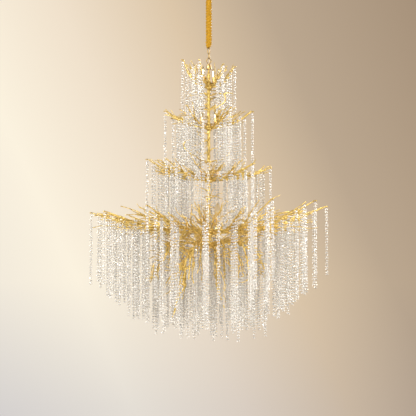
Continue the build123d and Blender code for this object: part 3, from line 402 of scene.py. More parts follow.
def satin():
    """Woven satin: a fine weave, lengthwise streaks that are painted shade and painted highlight and also a
    relief, and a soft sheen.
    """
    sleeve = bpy.context.scene.chandelier_sleeve
    finish = Finish("gold_satin", 0.36)
    fold_streaks_and_painted_light = finish.noise(60.0, 5.0, finish.stretched((6.0, 6.0, 1.1)), 0.4)
    cloth = tuple(sleeve.cloth)
    # The streaks run from painted shade through the cloth to a painted highlight
    painted_shade_and_highlight = ((0.28, tuple(sleeve.crease_painted_shade)), (0.45, cloth), (0.72, scaled(cloth, 1.28)))
    finish.colour(finish.ramp(fold_streaks_and_painted_light, *painted_shade_and_highlight))
    finish.roughness(finish.between(finish.noise(500.0), 0.28, 0.50))
    finish.bump(finish.noise(1500.0, 2.0, finish.stretched((1.0, 1.0, 2.5))), 0.0003, 0.5)
    finish.bump(fold_streaks_and_painted_light, 0.0008, 0.6)
    finish.constant("Specular IOR Level", 0.3)
    finish.constant("Specular Tint", (1.0, 0.78, 0.35, 1.0))
    finish.constant("Sheen Weight", 0.12)
    finish.constant("Sheen Roughness", 0.3)
    finish.constant("Sheen Tint", (1.0, 0.74, 0.30, 1.0))
    finish.constant("Anisotropic", 0.4)
    return finish.material


def cable_jacket():
    finish = Finish("clear_jacket", 0.30)
    strands = finish.noise(320.0, 2.0, finish.stretched((1.0, 1.0, 0.12)))
    finish.colour(finish.ramp(strands, (0.30, (0.62, 0.42, 0.16)), (0.70, (0.88, 0.72, 0.42))))
    finish.bump(strands, 0.0003, 0.4)
    return finish.material


def gilded_socket():
    finish = Finish("socket_gilding", 0.28, 1.0)
    marks = finish.noise(90.0, 3.0, finish.stretched((1.0, 1.0, 0.2)))
    finish.colour(finish.ramp(marks, (0.30, (0.66, 0.42, 0.13)), (0.70, (0.92, 0.66, 0.29))))
    finish.roughness(finish.between(finish.noise(220.0), 0.20, 0.38))
    return finish.material


def moulded_plastic():
    finish = Finish("terminal_plastic", 0.45)
    finish.colour(finish.ramp(finish.noise(180.0), (0.3, (0.80, 0.79, 0.76)), (0.7, (0.88, 0.87, 0.84))))
    finish.bump(finish.noise(900.0), 0.0002, 0.4)
    return finish.material


def lamp_glass(name, roughness, clear, dark, light):
    """Warm glass for the lamps' envelopes, more or less hazy."""
    finish = Finish(name, roughness)
    finish.colour(finish.ramp(finish.noise(70.0, 2.0), (0.3, dark), (0.7, light)))
    finish.constant("Transmission Weight", clear)
    return finish.material


MATERIALS = {}
CHAIN_GOLD = (0.39, 0.245, 0.062)
CANOPY_GOLD = (0.86, 0.60, 0.26)
# The darker and the lighter colour of each kind of lamp's glass
CANDLE_GLASS = ((0.84, 0.68, 0.42), (0.94, 0.82, 0.58))
CAPSULE_GLASS = ((0.84, 0.72, 0.50), (0.92, 0.82, 0.62))


def finish_of(name):
    """A material by its short name, made the first time that it is asked for."""
    makers = {
        "leaf": gold_leaf,
        "chain": lambda: polished_gold("polished_chain", CHAIN_GOLD, (1.0, 1.0, 3.0), 0.32),
        "canopy": lambda: polished_gold("brushed_canopy", CANOPY_GOLD, (1.0, 1.0, 14.0), 0.26),
        "steel": zinc_steel,
        "crystal": cut_crystal,
        "satin": satin,
        "jacket": cable_jacket,
        "socket": gilded_socket,
        "plastic": moulded_plastic,
        "candle_lamps": lambda: lamp_glass("hazy_lamp_glass", 0.36, 0.80, *CANDLE_GLASS),
        "capsule_lamps": lambda: lamp_glass("clear_lamp_glass", 0.08, 0.97, *CAPSULE_GLASS),
    }
    if name not in MATERIALS:
        MATERIALS[name] = makers[name]()
    return MATERIALS[name]


# ---------------------------------------------------------------------------
# Stage
# ---------------------------------------------------------------------------
# The wall's colour, painted light that falls off from its lit side, runs along this direction, between these
# two levels of it, through (share, colour)
WALL_SLANT = (1.0, 0.0, 0.45)
WALL_SPAN = (-0.27, 0.32)
WALL_PAINTED_LIGHT_RUN = (
    (0.00, (0.82, 0.77, 0.69)), (0.24, (0.97, 0.89, 0.74)), (0.42, (0.87, 0.75, 0.60)),
    (0.60, (0.72, 0.57, 0.40)), (0.76, (0.50, 0.39, 0.28)), (1.00, (0.39, 0.29, 0.20)),
)
# (low, high, colour at low, colour at high): how the wall darkens towards its foot, and the light and dark
# patches of a room that metal and glass show
WALL_FOOT = (-0.125, 0.0, (0.80, 0.82, 0.90), (1.0, 1.0, 1.0))
ROOM_PATCHES = (0.36, 0.60, (0.22, 0.20, 0.18), (1.12, 1.12, 1.12))
PATCH_SCALE = 2.6
# The even light of the room
SOFT_TINT = (1.0, 0.96, 0.90)
SOFT_STRENGTH = 0.74
# Soft lamps: name, place, size, power, colour
LAMPS = (
    ("key_light", (-3.0, -3.4, 0.9), 2.2, 182.0, (1.0, 0.97, 0.92)),
    ("fill_light", (3.6, -3.0, -0.8), 2.6, 135.0, (1.0, 0.96, 0.90)),
    ("rim_light", (1.6, 3.2, 0.8), 1.6, 110.0, (1.0, 0.95, 0.88)),
    ("left_glint", (-1.2, -3.6, -0.2), 0.5, 24.0, (1.0, 1.0, 1.0)),
    ("right_glint", (1.9, -3.2, -1.9), 0.4, 22.0, (1.0, 0.98, 0.94)),
)
LAMPS_AIM = (0.0, 0.0, -1.1)


class Wall(NodeTree):
    """The world as a wall: its colour shows to the eye, in metal and through glass."""

    def __init__(self, world):
        super().__init__(world)
        self.nodes.clear()
        self.way = self.nodes.new("ShaderNodeTexCoord").outputs["Generated"]

    def reached(self, factor, low, high):
        """How far a factor has come from low to high."""
        node = self.nodes.new("ShaderNodeMapRange")
        node.inputs["From Min"].default_value = low
        node.inputs["From Max"].default_value = high
        self.links.new(factor, node.inputs["Value"])
        return node.outputs["Result"]

    def step(self, factor, low, high, dark, bright):
        """A colour that goes from dark to bright as a factor goes from low to high."""
        mix = self.nodes.new("ShaderNodeMix")
        mix.data_type = "RGBA"
        mix.inputs[6].default_value = (*dark, 1.0)
        mix.inputs[7].default_value = (*bright, 1.0)
        self.links.new(self.reached(factor, low, high), mix.inputs[0])
        return mix.outputs[2]

    def product(self, first, second):
        """One colour multiplied by another."""
        mix = self.nodes.new("ShaderNodeMix")
        mix.data_type = "RGBA"
        mix.blend_type = "MULTIPLY"
        mix.inputs[0].default_value = 1.0
        self.links.new(first, mix.inputs[6])
        self.links.new(second, mix.inputs[7])
        return mix.outputs[2]

    def plain(self):
        """The wall's colour: a run of painted light from its lit side to its far upper corner, darker
        towards its foot.
        """
        across = self.nodes.new("ShaderNodeVectorMath")
        across.operation = "DOT_PRODUCT"
        across.inputs[1].default_value = WALL_SLANT
        self.links.new(self.way, across.inputs[0])
        run = self.ramp(self.reached(across.outputs["Value"], *WALL_SPAN), *WALL_PAINTED_LIGHT_RUN)
        height = self.nodes.new("ShaderNodeSeparateXYZ")
        self.links.new(self.way, height.inputs[0])
        return self.product(run, self.step(height.outputs["Z"], *WALL_FOOT))

    def patched(self, wall):
        """The wall with the light and dark patches of a room on it."""
        patches = self.nodes.new("ShaderNodeTexNoise")
        patches.inputs["Scale"].default_value = PATCH_SCALE
        self.links.new(self.way, patches.inputs["Vector"])
        return self.product(wall, self.step(patches.outputs["Fac"], *ROOM_PATCHES))

    def background(self, tint):
        node = self.nodes.new("ShaderNodeBackground")
        self.links.new(tint, node.inputs["Color"])
        return node.outputs[0]

    def even_light(self):
        node = self.nodes.new("ShaderNodeBackground")
        node.inputs["Color"].default_value = (*SOFT_TINT, 1.0)
        node.inputs["Strength"].default_value = SOFT_STRENGTH
        return node.outputs[0]

    def paint(self):
        """Lights the object evenly, and shows the wall to the rays that look at it."""
        wall = self.plain()
        seen = self.background(wall)
        mirrored = self.background(self.patched(wall))
        light = self.even_light()
        path = self.nodes.new("ShaderNodeLightPath")
        views = (("Is Transmission Ray", mirrored), ("Is Glossy Ray", mirrored), ("Is Camera Ray", seen))
        for ray, view in views:
            mix = self.nodes.new("ShaderNodeMixShader")
            self.links.new(path.outputs[ray], mix.inputs[0])
            self.links.new(light, mix.inputs[1])
            self.links.new(view, mix.inputs[2])
            light = mix.outputs[0]
        out = self.nodes.new("ShaderNodeOutputWorld")
        self.links.new(light, out.inputs["Surface"])


class CHANDELIER_OT_stage(Operator):
    """Sets the camera, the pale wall colour, the floor and the soft lamps"""
    bl_idname = "chandelier.stage"
    bl_label = "Set the stage"

    def execute(self, context):
        context.scene.view_settings.view_transform = "Standard"
        self.set_camera(context)
        self.hang_lamps(context)
        world = bpy.data.worlds.new("wall")
        context.scene.world = world
        Wall(world).paint()
        self.lay_floor(context)
        return {"FINISHED"}

    def set_camera(self, context):
        stage = context.scene.chandelier_stage
        camera = bpy.data.cameras.new("camera")
        camera.lens = camera.sensor_width * stage.focal
        eye = bpy.data.objects.new("camera", camera)
        eye.location = (stage.eye_aside, -stage.eye_distance, stage.eye_level)
        eye.rotation_euler = (pi / 2 + stage.pitch_up, 0.0, 0.0)
        context.scene.collection.objects.link(eye)
        context.scene.camera = eye

    def hang_lamps(self, context):
        for name, spot, size, power, tint in LAMPS:
            lamp = bpy.data.lights.new(name, "AREA")
            lamp.size = size
            lamp.energy = power
            lamp.color = tint
            holder = bpy.data.objects.new(name, lamp)
            holder.location = spot
            aim = Vector(LAMPS_AIM) - Vector(spot)
            holder.rotation_euler = aim.to_track_quat("-Z", "Y").to_euler()
            context.scene.collection.objects.link(holder)

    def lay_floor(self, context):
        stage = context.scene.chandelier_stage
        bm = bmesh.new()
        bmesh.ops.create_circle(bm, cap_ends=True, radius=stage.floor_radius, segments=96)
        bmesh.ops.translate(bm, verts=bm.verts, vec=(0.0, 0.0, stage.floor_level))
        floor = bpy.data.objects.new("floor", mesh_from("floor", bm, False))
        finish = Finish("floor_plaster", 0.8)
        tint = tuple(stage.floor_tint)
        finish.colour(finish.ramp(finish.noise(1.6), (0.3, scaled(tint, 0.97)), (0.7, tint)))
        floor.data.materials.append(finish.material)
        context.scene.collection.objects.link(floor)


# ---------------------------------------------------------------------------
# Hardware, sleeve and cable
# ---------------------------------------------------------------------------
HARDWARE = {
    "ceiling_plate": "steel", "bridge_nuts": "steel", "threaded_nipple": "steel", "swivel_nut": "steel",
    "terminal_block": "plastic", "supply_cable": "jacket", "canopy": "canopy", "collar_nut": "canopy",
    "canopy_loop": "chain", "top_link": "chain", "chain_links": "chain", "lower_link": "chain",
    "hanging_eye": "chain", "chain_cable": "jacket", "top_cap": "canopy", "stem_tube": "chain",
    "stem_cable": "jacket", "bottom_finial": "canopy", "lamp_arms": "chain", "lamp_leads": "jacket",
    "lamp_sockets": "socket",
}


class CHANDELIER_OT_hardware(Operator):
    """Gives the metal fittings, the sockets and the held cables their finishes"""
    bl_idname = "chandelier.hardware"
    bl_label = "Finish the hardware"

    def execute(self, context):
        for name, finish in HARDWARE.items():
            mesh = NODES[name].data
            mesh.materials.clear()
            mesh.materials.append(finish_of(finish))
        return {"FINISHED"}


class CHANDELIER_OT_sleeve(Operator):
    """Gathers the satin sleeve over the chain"""
    bl_idname = "chandelier.sleeve"
    bl_label = "Gather the sleeve"

    around = 120  # faces round the sleeve
    along = 150  # rows of faces along it
    hem = 0.020  # the run over which the cloth narrows to its foot
    hem_draw = 0.0042  # how much narrower it is there
    hem_slant = 0.006  # how much higher one side of its foot hangs
    mouth = 0.010  # the run over which it narrows to its top
    mouth_draw = 0.0012
    crumple = 0.0009  # depth of the small creases

    def execute(self, context):
        sleeve = context.scene.chandelier_sleeve
        low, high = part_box("chain_sleeve")
        bm = self.plain_tube(low.z, high.z)
        for vert in bm.verts:
            vert.co = self.gathered(vert.co, low.z, high.z, sleeve)
        bmesh.ops.recalc_face_normals(bm, faces=bm.faces)
        name = "chain_sleeve_satin"
        mesh = mesh_from(name, bm, True)
        piece = place(name, mesh, finish_of("satin"), "sleeve_cloth", "chain", ("chain_sleeve",))
        wall = piece.modifiers.new("wall", "SOLIDIFY")
        wall.thickness = sleeve.wall
        wall.offset = -1.0
        return {"FINISHED"}

    def plain_tube(self, bottom, top):
        """An open tube of radius 1 between two levels."""
        bm = bmesh.new()
        bmesh.ops.create_circle(bm, radius=1.0, segments=self.around)
        edges = bm.edges[:]
        bmesh.ops.translate(bm, verts=bm.verts, vec=(0.0, 0.0, bottom))
        for _ in range(self.along):
            grown = bmesh.ops.extrude_edge_only(bm, edges=edges)["geom"]
            risen = [item for item in grown if isinstance(item, bmesh.types.BMVert)]
            edges = [item for item in grown if isinstance(item, bmesh.types.BMEdge)]
            bmesh.ops.translate(bm, verts=risen, vec=(0.0, 0.0, (top - bottom) / self.along))
        return bm

    def gathered(self, co, bottom, top, sleeve):
        """Where a place on the plain tube goes when the cloth is folded lengthwise and gathered across."""
        turn = atan2(co.y, co.x)
        share = (co.z - bottom) / (top - bottom)
        swirl = Vector((cos(turn), sin(turn), 0.0))
        drift = noise.noise(Vector((swirl.x * 0.8, swirl.y * 0.8, share * 7.0)))
        folds = cos(turn * sleeve.folds + 3.2 * drift + 2.0 * sin(share * 9.0))
        uneven = 2.2 * noise.noise(swirl * 0.9 + Vector((0, 0, share * 11.0)))
        gather = cos(2 * pi * sleeve.ruches * share + uneven)
        creases = noise.noise(Vector((swirl.x * 2.6, swirl.y * 2.6, share * 46.0)))
        radius = sleeve.radius + sleeve.fold * folds * (0.55 + 0.45 * gather)
        radius += sleeve.ruche * gather + self.crumple * creases
        drawn = max(0.0, 1 - (co.z - bottom) / self.hem)
        radius -= drawn * drawn * self.hem_draw
        radius -= max(0.0, 1 - (top - co.z) / self.mouth) * self.mouth_draw
        slant = drawn * self.hem_slant * (0.5 + 0.5 * swirl.x)
        return Vector((swirl.x * radius, swirl.y * radius, co.z + slant))


CABLE_RADIUS = 0.00175
# How far the cable's middle lies to the right and behind the chain's, and the cap's
BESIDE_CHAIN = 0.00385
BESIDE_CAP = 0.0050


def beside_chain(*levels):
    return [(BESIDE_CHAIN, BESIDE_CHAIN, level) for level in levels]


class CHANDELIER_OT_cable(Operator):
    """Lays the two lengths of cable that run past the chain's hooks"""
    bl_idname = "chandelier.cable"
    bl_label = "Lay the cable"

    bend = 0.008  # half of the run over which the cable bends at a hook
    chain_bend = 0.005  # the same at the chain's top
    chain_bend_rise = 0.006  # how far that bend's middle lies above the chain's hook
    straight = 0.008  # run straight down out of the loop
    aside = 0.010  # how far above the hook it has come beside the chain
    last_aside = 0.009  # how far below the last hook it still lies beside the chain
    cap_run = 0.012  # run straight down into the cap

    def execute(self, context):
        levels = {joint["name"]: joint["pos_m"][2] for joint in frame["joints"]}
        self.lay_loop_cable(levels["hook_sway"], levels["chain_sway"])
        self.lay_cable_tail(levels["lower_link_sway"], levels["fixture_sway"])
        return {"FINISHED"}

    def lay_loop_cable(self, hook, chain):
        """From the loop under the canopy to the chain, past the hooks above and below the top link."""
        low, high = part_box("loop_cable")
        middle = (hook + chain) / 2
        out_of_loop = [(0.0, 0.0, high.z), (0.0, 0.0, high.z - self.straight)]
        upper = out_of_loop + beside_chain(hook + self.aside, hook, middle)
        lower = beside_chain(middle, (middle + chain) / 2, chain, low.z)
        bent = chain + self.chain_bend_rise
        self.lay("loop_cable_upper", upper, ("canopy_loop", "top_link"), hook, self.bend, ("loop_cable",))
        self.lay("loop_cable_lower", lower, ("top_link", "chain"), bent, self.chain_bend, ("loop_cable",))

    def lay_cable_tail(self, knuckle, eye):
        """From the chain to the trunk's cap, past the hooks above and below the lower link."""
        low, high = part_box("cable_tail")
        middle = (knuckle + eye) / 2
        into_cap = [(BESIDE_CAP, BESIDE_CAP, low.z + self.cap_run), (BESIDE_CAP, BESIDE_CAP, low.z)]
        upper = beside_chain(high.z, (high.z + knuckle) / 2, knuckle, middle)
        lower = beside_chain(middle, eye, eye - self.last_aside) + into_cap
        self.lay("cable_tail_upper", upper, ("chain", "lower_link"), knuckle, self.bend, ("cable_tail",))
        self.lay("cable_tail_lower", lower, ("lower_link", "fixture"), eye, self.bend, ("cable_tail",))

    def lay(self, name, route, bodies, level, reach, stands_for):
        """Lays one length of cable along its route, as a piece in no body; the bodies, the level and the
        reach are not used.
        """
        mesh = tube_along([[(spot, CABLE_RADIUS) for spot in route]], sides=4)
        mesh.shade_smooth()
        piece = place(name, mesh, finish_of("jacket"), "cable_jacket", None, stands_for)
        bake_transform(piece)


# ---------------------------------------------------------------------------
# Cast gold branches and trunk
# ---------------------------------------------------------------------------
class Growth(NamedTuple):
    """One kind of twig that grows from a tier's limbs."""
    count: int
    lengths: tuple  # the shortest and the longest
    start: tuple  # where they start, as shares of the tier's reach
    climb: tuple  # least and most rise for each step outwards
    aside: float  # how far they may turn aside for each step outwards
    radius: tuple  # the thinnest and the thickest
    joints: int  # bends along each twig
    wander: float  # how far each bend shifts, as a share of the length


# What is drawn at random for each tier's twigs starts from the first number
DRESSING = {
    "tier1": (3, Growth(26, (0.018, 0.050), (0.22, 0.80), (0.3, 1.1), 0.6, (0.0021, 0.0027), 3, 0.12)),
    "tier2": (
        7, Growth(50, (0.020, 0.052), (0.18, 0.84), (0.2, 1.0), 0.6, (0.0021, 0.0028), 3, 0.12),
        Growth(34, (0.060, 0.120), (0.10, 0.60), (-0.1, 0.6), 0.4, (0.0024, 0.0031), 4, 0.07),
    ),
    "tier3": (
        13, Growth(80, (0.022, 0.060), (0.14, 0.86), (0.2, 1.0), 0.6, (0.0021, 0.0028), 3, 0.12),
        Growth(60, (0.080, 0.150), (0.08, 0.60), (-0.1, 0.5), 0.4, (0.0024, 0.0031), 4, 0.07),
    ),
    "main": (
        29, Growth(130, (0.026, 0.075), (0.12, 0.90), (0.2, 0.9), 0.5, (0.0021, 0.0028), 3, 0.12),
        Growth(170, (0.120, 0.250), (0.06, 0.74), (-0.06, 0.22), 0.35, (0.0024, 0.0032), 5, 0.050),
        Growth(50, (0.090, 0.160), (0.06, 0.45), (0.4, 1.1), 0.5, (0.0024, 0.0032), 4, 0.07),
        Growth(70, (0.060, 0.150), (0.04, 0.45), (-0.8, -0.1), 0.8, (0.0026, 0.0036), 4, 0.08),
    ),
    "lower": (
        37, Growth(90, (0.022, 0.056), (0.10, 0.95), (-0.9, 0.4), 0.9, (0.0022, 0.0030), 3, 0.12),
        Growth(80, (0.100, 0.240), (0.04, 0.60), (0.05, 0.50), 0.6, (0.0024, 0.0032), 5, 0.06),
        Growth(90, (0.090, 0.190), (0.06, 0.80), (-3.2, -0.5), 0.6, (0.0027, 0.0036), 5, 0.07),
    ),
}
# A twig's root: how much the bark must look up there, how deep it starts in the bark, and how much thicker
BARK_UP = -0.2
ROOT_DEPTH = 0.001
ROOT_SWELL = 1.25
# Its tip: how much thinner it is there, and the length and the swell of its bud
TAPER = 0.35
BUD_LENGTH = 0.003
BUD_SWELL = 1.35
LEAST_SLANT = 0.1  # a twig that rises steeply is cut to the tier's reach as if it leant outwards this much
DRAWS_PER_AREA = 2e5  # entries of a face in the draw for each square metre of it
# Room round a tip string: above its pin, below its end, and to each side, where its swing adds to it
ROOM_ABOVE = 0.012
ROOM_BELOW = 0.015
ROOM_ASIDE = 0.020
SWING_SHARE = sin(radians(max(PIN_JOINTS[name]["range_deg"][1] for name in TIP_STRINGS)))


def swing_room(name):
    """Where a tip string swings: its pin's x and y, the pin's level, and the string's length."""
    x, y, level = PIN_JOINTS[name]["pos_m"]
    return x, y, level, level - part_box(name)[0].z


SWING_ROOMS = [swing_room(name) for name in TIP_STRINGS]


def random_spot(faces, rng, inner, outer):
    """A place on the bark, its normal, and the way out from the trunk there."""
    while True:
        face = faces[min(len(faces) - 1, int(rng.random() * len(faces)))]
        a, b = sorted((rng.random(), rng.random()))
        first, second, third = (vert.co for vert in face.verts)
        spot = first * a + second * (b - a) + third * (1 - b)
        if face.normal.z > BARK_UP and inner < spot.xy.length < outer:
            return spot, face.normal.copy(), Vector((spot.x, spot.y, 0.0)).normalized()


def twig_course(growth, spot, normal, out, reach, rng):
    """The line of one twig from the bark outwards, which stays within the tier's reach."""
    side = Vector((-out.y, out.x, 0.0))
    rise = Vector((0.0, 0.0, rng.uniform(*growth.climb)))
    way = (out + side * rng.uniform(-growth.aside, growth.aside) + rise).normalized()
    run = rng.uniform(*growth.lengths)
    run = min(run, (reach - spot.xy.length) / max(way.xy.length, LEAST_SLANT))
    thick = rng.uniform(*growth.radius)
    course = [(spot - normal * ROOT_DEPTH, thick * ROOT_SWELL)]
    for joint in range(1, growth.joints + 1):
        share = joint / growth.joints
        shift = Vector([rng.uniform(-1, 1) * growth.wander * run for _ in range(3)])
        course.append((spot + way * run * share + shift, thick * (1 - TAPER * share)))
    tip, radius = course[-1]
    course.append((tip + way * BUD_LENGTH, radius * BUD_SWELL))
    return course


def is_free(course):
    """Whether a twig stays in the object's box and out of the rooms that the tip strings swing in."""
    low, high = CAD_BOX
    for spot, _ in course:
        if not (low.x < spot.x < high.x and low.y < spot.y < high.y):
            return False
    return not any(meets_room(course, *room) for room in SWING_ROOMS)


def meets_room(course, x, y, level, tall):
    """Whether a twig comes into the room that one hanging string swings in."""
    for spot, _ in course:
        below = level - spot.z
        if -ROOM_ABOVE < below < tall + ROOM_BELOW:
            away = Vector((spot.x - x, spot.y - y)).length
            if away < ROOM_ASIDE + below * SWING_SHARE:
                return True
    return False


def side_twigs(bm, seed, *growths):
    """Courses of the small twigs that grow from a tier's limbs."""
    rng = random.Random(seed)
    reach = max(vert.co.xy.length for vert in bm.verts)
    faces = [face for face in bm.faces for _ in range(1 + int(face.calc_area() * DRAWS_PER_AREA))]
    courses = []
    for growth in growths:
        inner, outer = growth.start
        for _ in range(growth.count):
            spot, normal, out = random_spot(faces, rng, inner * reach, outer * reach)
            course = twig_course(growth, spot, normal, out, reach, rng)
            if is_free(course):
                courses.append(course)
    return courses


# Bark: how it is smoothed, how far it is lifted as a share of its lumps, and how deep and close its pits are
RELAX_ROUNDS = 3
RELAX_FACTOR = 0.5
LIFT = 0.45
PIT_DEPTH = 0.35
PIT_SPACING = 0.32


def cast(name, bm, kept):
    """Casts loose rods into one lumpy piece of bark, of which a share of the faces is kept."""
    gold = bpy.context.scene.chandelier_gold
    rough = linked(name, mesh_from(name, bm, True))
    remesh = rough.modifiers.new("cast", "REMESH")
    remesh.mode = "VOXEL"
    remesh.voxel_size = gold.cell
    remesh.use_smooth_shade = True
    relax = rough.modifiers.new("relax", "SMOOTH")
    relax.iterations = RELAX_ROUNDS
    relax.factor = RELAX_FACTOR
    mesh = baked(rough)
    raise_lumps(mesh, gold.lump, gold.lump_spacing)
    lumpy = linked(name, mesh)
    thin = lumpy.modifiers.new("thin", "DECIMATE")
    thin.ratio = kept
    mesh = baked(lumpy)
    mesh.shade_smooth()
    return mesh


def raise_lumps(mesh, height, spacing):
    """Moves every corner out along its normal, by lumps and smaller pits."""
    raised = []
    for vert in mesh.vertices:
        lump = noise.noise(vert.co / spacing)
        pit = noise.noise(vert.co / (spacing * PIT_SPACING))
        raised.append(vert.co + vert.normal * height * (LIFT + lump + PIT_DEPTH * pit))
    for vert, spot in zip(mesh.vertices, raised):
        vert.co = spot


class CHANDELIER_OT_branches(Operator):
    """Casts every tier's branches with their side twigs"""
    bl_idname = "chandelier.branches"
    bl_label = "Cast the branches"

    most_twigs = 130  # in one piece
    kept = 0.42

    def execute(self, context):
        for tier in TIERS:
            node = tier + "_branches"
            bm = merged_copy(node)
            courses = side_twigs(bm, *DRESSING[tier])
            for part, first in enumerate(range(0, len(courses), self.most_twigs)):
                bm = bmesh.new() if part else bm
                bm.from_mesh(tube_along(courses[first:first + self.most_twigs]))
                name = f"{node}_twigs_{part}" if part else node + "_bark"
                mesh = cast(name, bm, self.kept)
                place(name, mesh, finish_of("leaf"), "gold_branch", BODY_OF[node], (node,))
        return {"FINISHED"}


# The long twigs that stand out between the tiers, each from the trunk or from the twig before it
LONG_TWIGS = (
    (
        (0.006, -0.004, -0.585), (0.040, -0.050, -0.578), (0.076, -0.096, -0.594),
        (0.098, -0.104, -0.586), (0.118, -0.100, -0.592),
    ),
    (
        (0.074, -0.094, -0.592), (0.086, -0.104, -0.612), (0.078, -0.110, -0.640),
        (0.050, -0.100, -0.652), (0.020, -0.090, -0.674),
    ),
    (
        (-0.006, -0.008, -0.930), (-0.062, -0.080, -0.905), (-0.118, -0.150, -0.880),
        (-0.126, -0.160, -0.846), (-0.104, -0.156, -0.831),
    ),
)


class CHANDELIER_OT_trunk(Operator):
    """Casts the trunk and its hubs, with the twigs that climb it"""
    bl_idname = "chandelier.trunk"
    bl_label = "Cast the trunk"

    vines = 3
    steps = 44  # along each climbing twig
    turns = 2.3  # of a climbing twig round the trunk
    stray_turn = 1.4
    stray_reach = 0.0028
    ends = 0.004  # between a climbing twig's ends and the trunk's
    growth = Growth(54, (0.035, 0.120), (0.0, 0.0), (-0.5, 0.9), 0.0, (0.0022, 0.0030), 4, 0.09)
    seed = 53
    clear_of_ends = 0.06  # between the side twigs and the trunk's ends
    twig_reach = 0.16
    bark = 0.006
    long_twig_radii = (0.0034, 0.0031, 0.0028, 0.0025, 0.0022)
    kept = 0.6

    def execute(self, context):
        gold = context.scene.chandelier_gold
        low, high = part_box("trunk_bark")
        bm = merged_copy("trunk_bark")
        bm.from_mesh(mesh_from("hubs", merged_copy("branch_hubs"), True))
        courses = self.side_twigs(low.z, high.z) + self.long_twigs()
        for vine in range(self.vines):
            courses.append([(spot, gold.vine) for spot in self.climb(vine, low.z, high.z, gold.vine_reach)])
        bm.from_mesh(tube_along(courses))
        name = "trunk_and_hubs"
        mesh = cast(name, bm, self.kept)
        place(name, mesh, finish_of("leaf"), "gold_branch", "fixture", ("trunk_bark", "branch_hubs"))
        return {"FINISHED"}

    def climb(self, vine, bottom, top, reach):
        """The places of one twig that winds down the trunk."""
        spots = []
        for step in range(self.steps + 1):
            share = step / self.steps
            stray = self.stray_turn * noise.noise(Vector((vine, 0, share * 9)))
            turn = 2 * pi * (vine / self.vines + self.turns * share) + stray
            away = reach + self.stray_reach * noise.noise(Vector((vine, 5, share * 14)))
            level = top - self.ends + (bottom - top + 2 * self.ends) * share
            spots.append(Vector((away * cos(turn), away * sin(turn), level)))
        return spots

    def long_twigs(self):
        return [
            [(Vector(spot), radius) for spot, radius in zip(course, self.long_twig_radii)]
            for course in LONG_TWIGS
        ]

    def side_twigs(self, bottom, top):
        """Twigs that leave the trunk at any height and on any side."""
        rng = random.Random(self.seed)
        courses = []
        for _ in range(self.growth.count):
            turn = rng.uniform(0, 2 * pi)
            out = Vector((cos(turn), sin(turn), 0.0))
            level = rng.uniform(bottom + self.clear_of_ends, top - self.clear_of_ends)
            spot = out * self.bark + Vector((0.0, 0.0, level))
            course = twig_course(self.growth, spot, out, out, self.twig_reach, rng)
            if is_free(course):
                courses.append(course)
        return courses


# ---------------------------------------------------------------------------
# Crystal strings
# ---------------------------------------------------------------------------
# How the ball that a drop is cut from is drawn in at its shoulder, and its belly widened and raised
SHOULDER = (0.72, 0.72, 1.0)
BELLY = (1.15, 1.15, 0.55)
# How much the drops of a string differ: the turn and the twist in radians, shares of their lean and size,
# and their level in metres
TURN_SPREAD = (-0.22, 0.22)
TWIST_SPREAD = (-0.5, 0.5)
LEAN_SPREAD = (0.72, 1.18)
SIZE_SPREAD = (0.90, 1.06)
LEVEL_SPREAD = (-0.0012, 0.0012)
OFF_WIRE = 0.0008  # between a drop's top and the middle of its wire
FIRST_ROW_RAISED = 0.003
# The wire: how far its top lies below the string's top, how much shorter it is than the string, its sides
WIRE_TOP = 0.002
WIRE_SHORTER = 0.006
WIRE_SIDES = 4


def faceted_drop(crystal):
    """One cut drop that hangs from the origin: a short shoulder, a wide belly and a long point."""
    bm = bmesh.new()
    bmesh.ops.create_uvsphere(bm, u_segments=5, v_segments=3, radius=1.0)
    upper = [vert for vert in bm.verts if 0.1 < vert.co.z < 0.9]
    lower = [vert for vert in bm.verts if -0.9 < vert.co.z < -0.1]
    bmesh.ops.scale(bm, verts=upper, vec=SHOULDER)
    bmesh.ops.scale(bm, verts=lower, vec=BELLY)
    size = (crystal.drop_width / 2, crystal.drop_thickness / 2, crystal.drop_length / 2)
    bmesh.ops.scale(bm, verts=bm.verts, vec=size)
    bmesh.ops.translate(bm, verts=bm.verts, vec=(0.0, 0.0, -crystal.drop_length / 2))
    return mesh_from("drop", bm, False)


def copied(mesh, matrix, into):
    """Adds a placed copy of a mesh to a bmesh."""
    copy = mesh.copy()
    copy.transform(matrix)
    into.from_mesh(copy)
    bpy.data.meshes.remove(copy)


def ear_of_drops(crystal, drop, rows, rng):
    """A string's drops below its origin: rows of leaning drops, each row turned against the last."""
    bm = bmesh.new()
    for row in range(rows):
        level = -(crystal.neck - FIRST_ROW_RAISED) - row * crystal.pitch
        for place_in_row in range(crystal.around):
            even_turn = 2 * pi * (place_in_row + 0.5 * (row % 2)) / crystal.around
            turn = even_turn + rng.uniform(*TURN_SPREAD)
            lean = crystal.lean * rng.uniform(*LEAN_SPREAD)
            size = rng.uniform(*SIZE_SPREAD)
            matrix = (
                Matrix.Translation((0.0, 0.0, level + rng.uniform(*LEVEL_SPREAD)))
                @ Matrix.Rotation(turn, 4, "Z")
                @ Matrix.Translation((OFF_WIRE, 0.0, 0.0))
                @ Matrix.Rotation(-lean, 4, "Y")
                @ Matrix.Rotation(rng.uniform(*TWIST_SPREAD), 4, "Z")
                @ Matrix.Scale(size, 4)
            )
            copied(drop, matrix, bm)
    return mesh_from("ear", bm, False)


def string_wire(crystal, tall):
    """The wire that a string's drops hang on, as a bmesh."""
    bm = bmesh.new()
    depth = tall - WIRE_SHORTER
    bmesh.ops.create_cone(
        bm, cap_ends=True, segments=WIRE_SIDES, radius1=crystal.wire, radius2=crystal.wire, depth=depth
    )
    bmesh.ops.translate(bm, verts=bm.verts, vec=(0.0, 0.0, -depth / 2 - WIRE_TOP))
    return bm


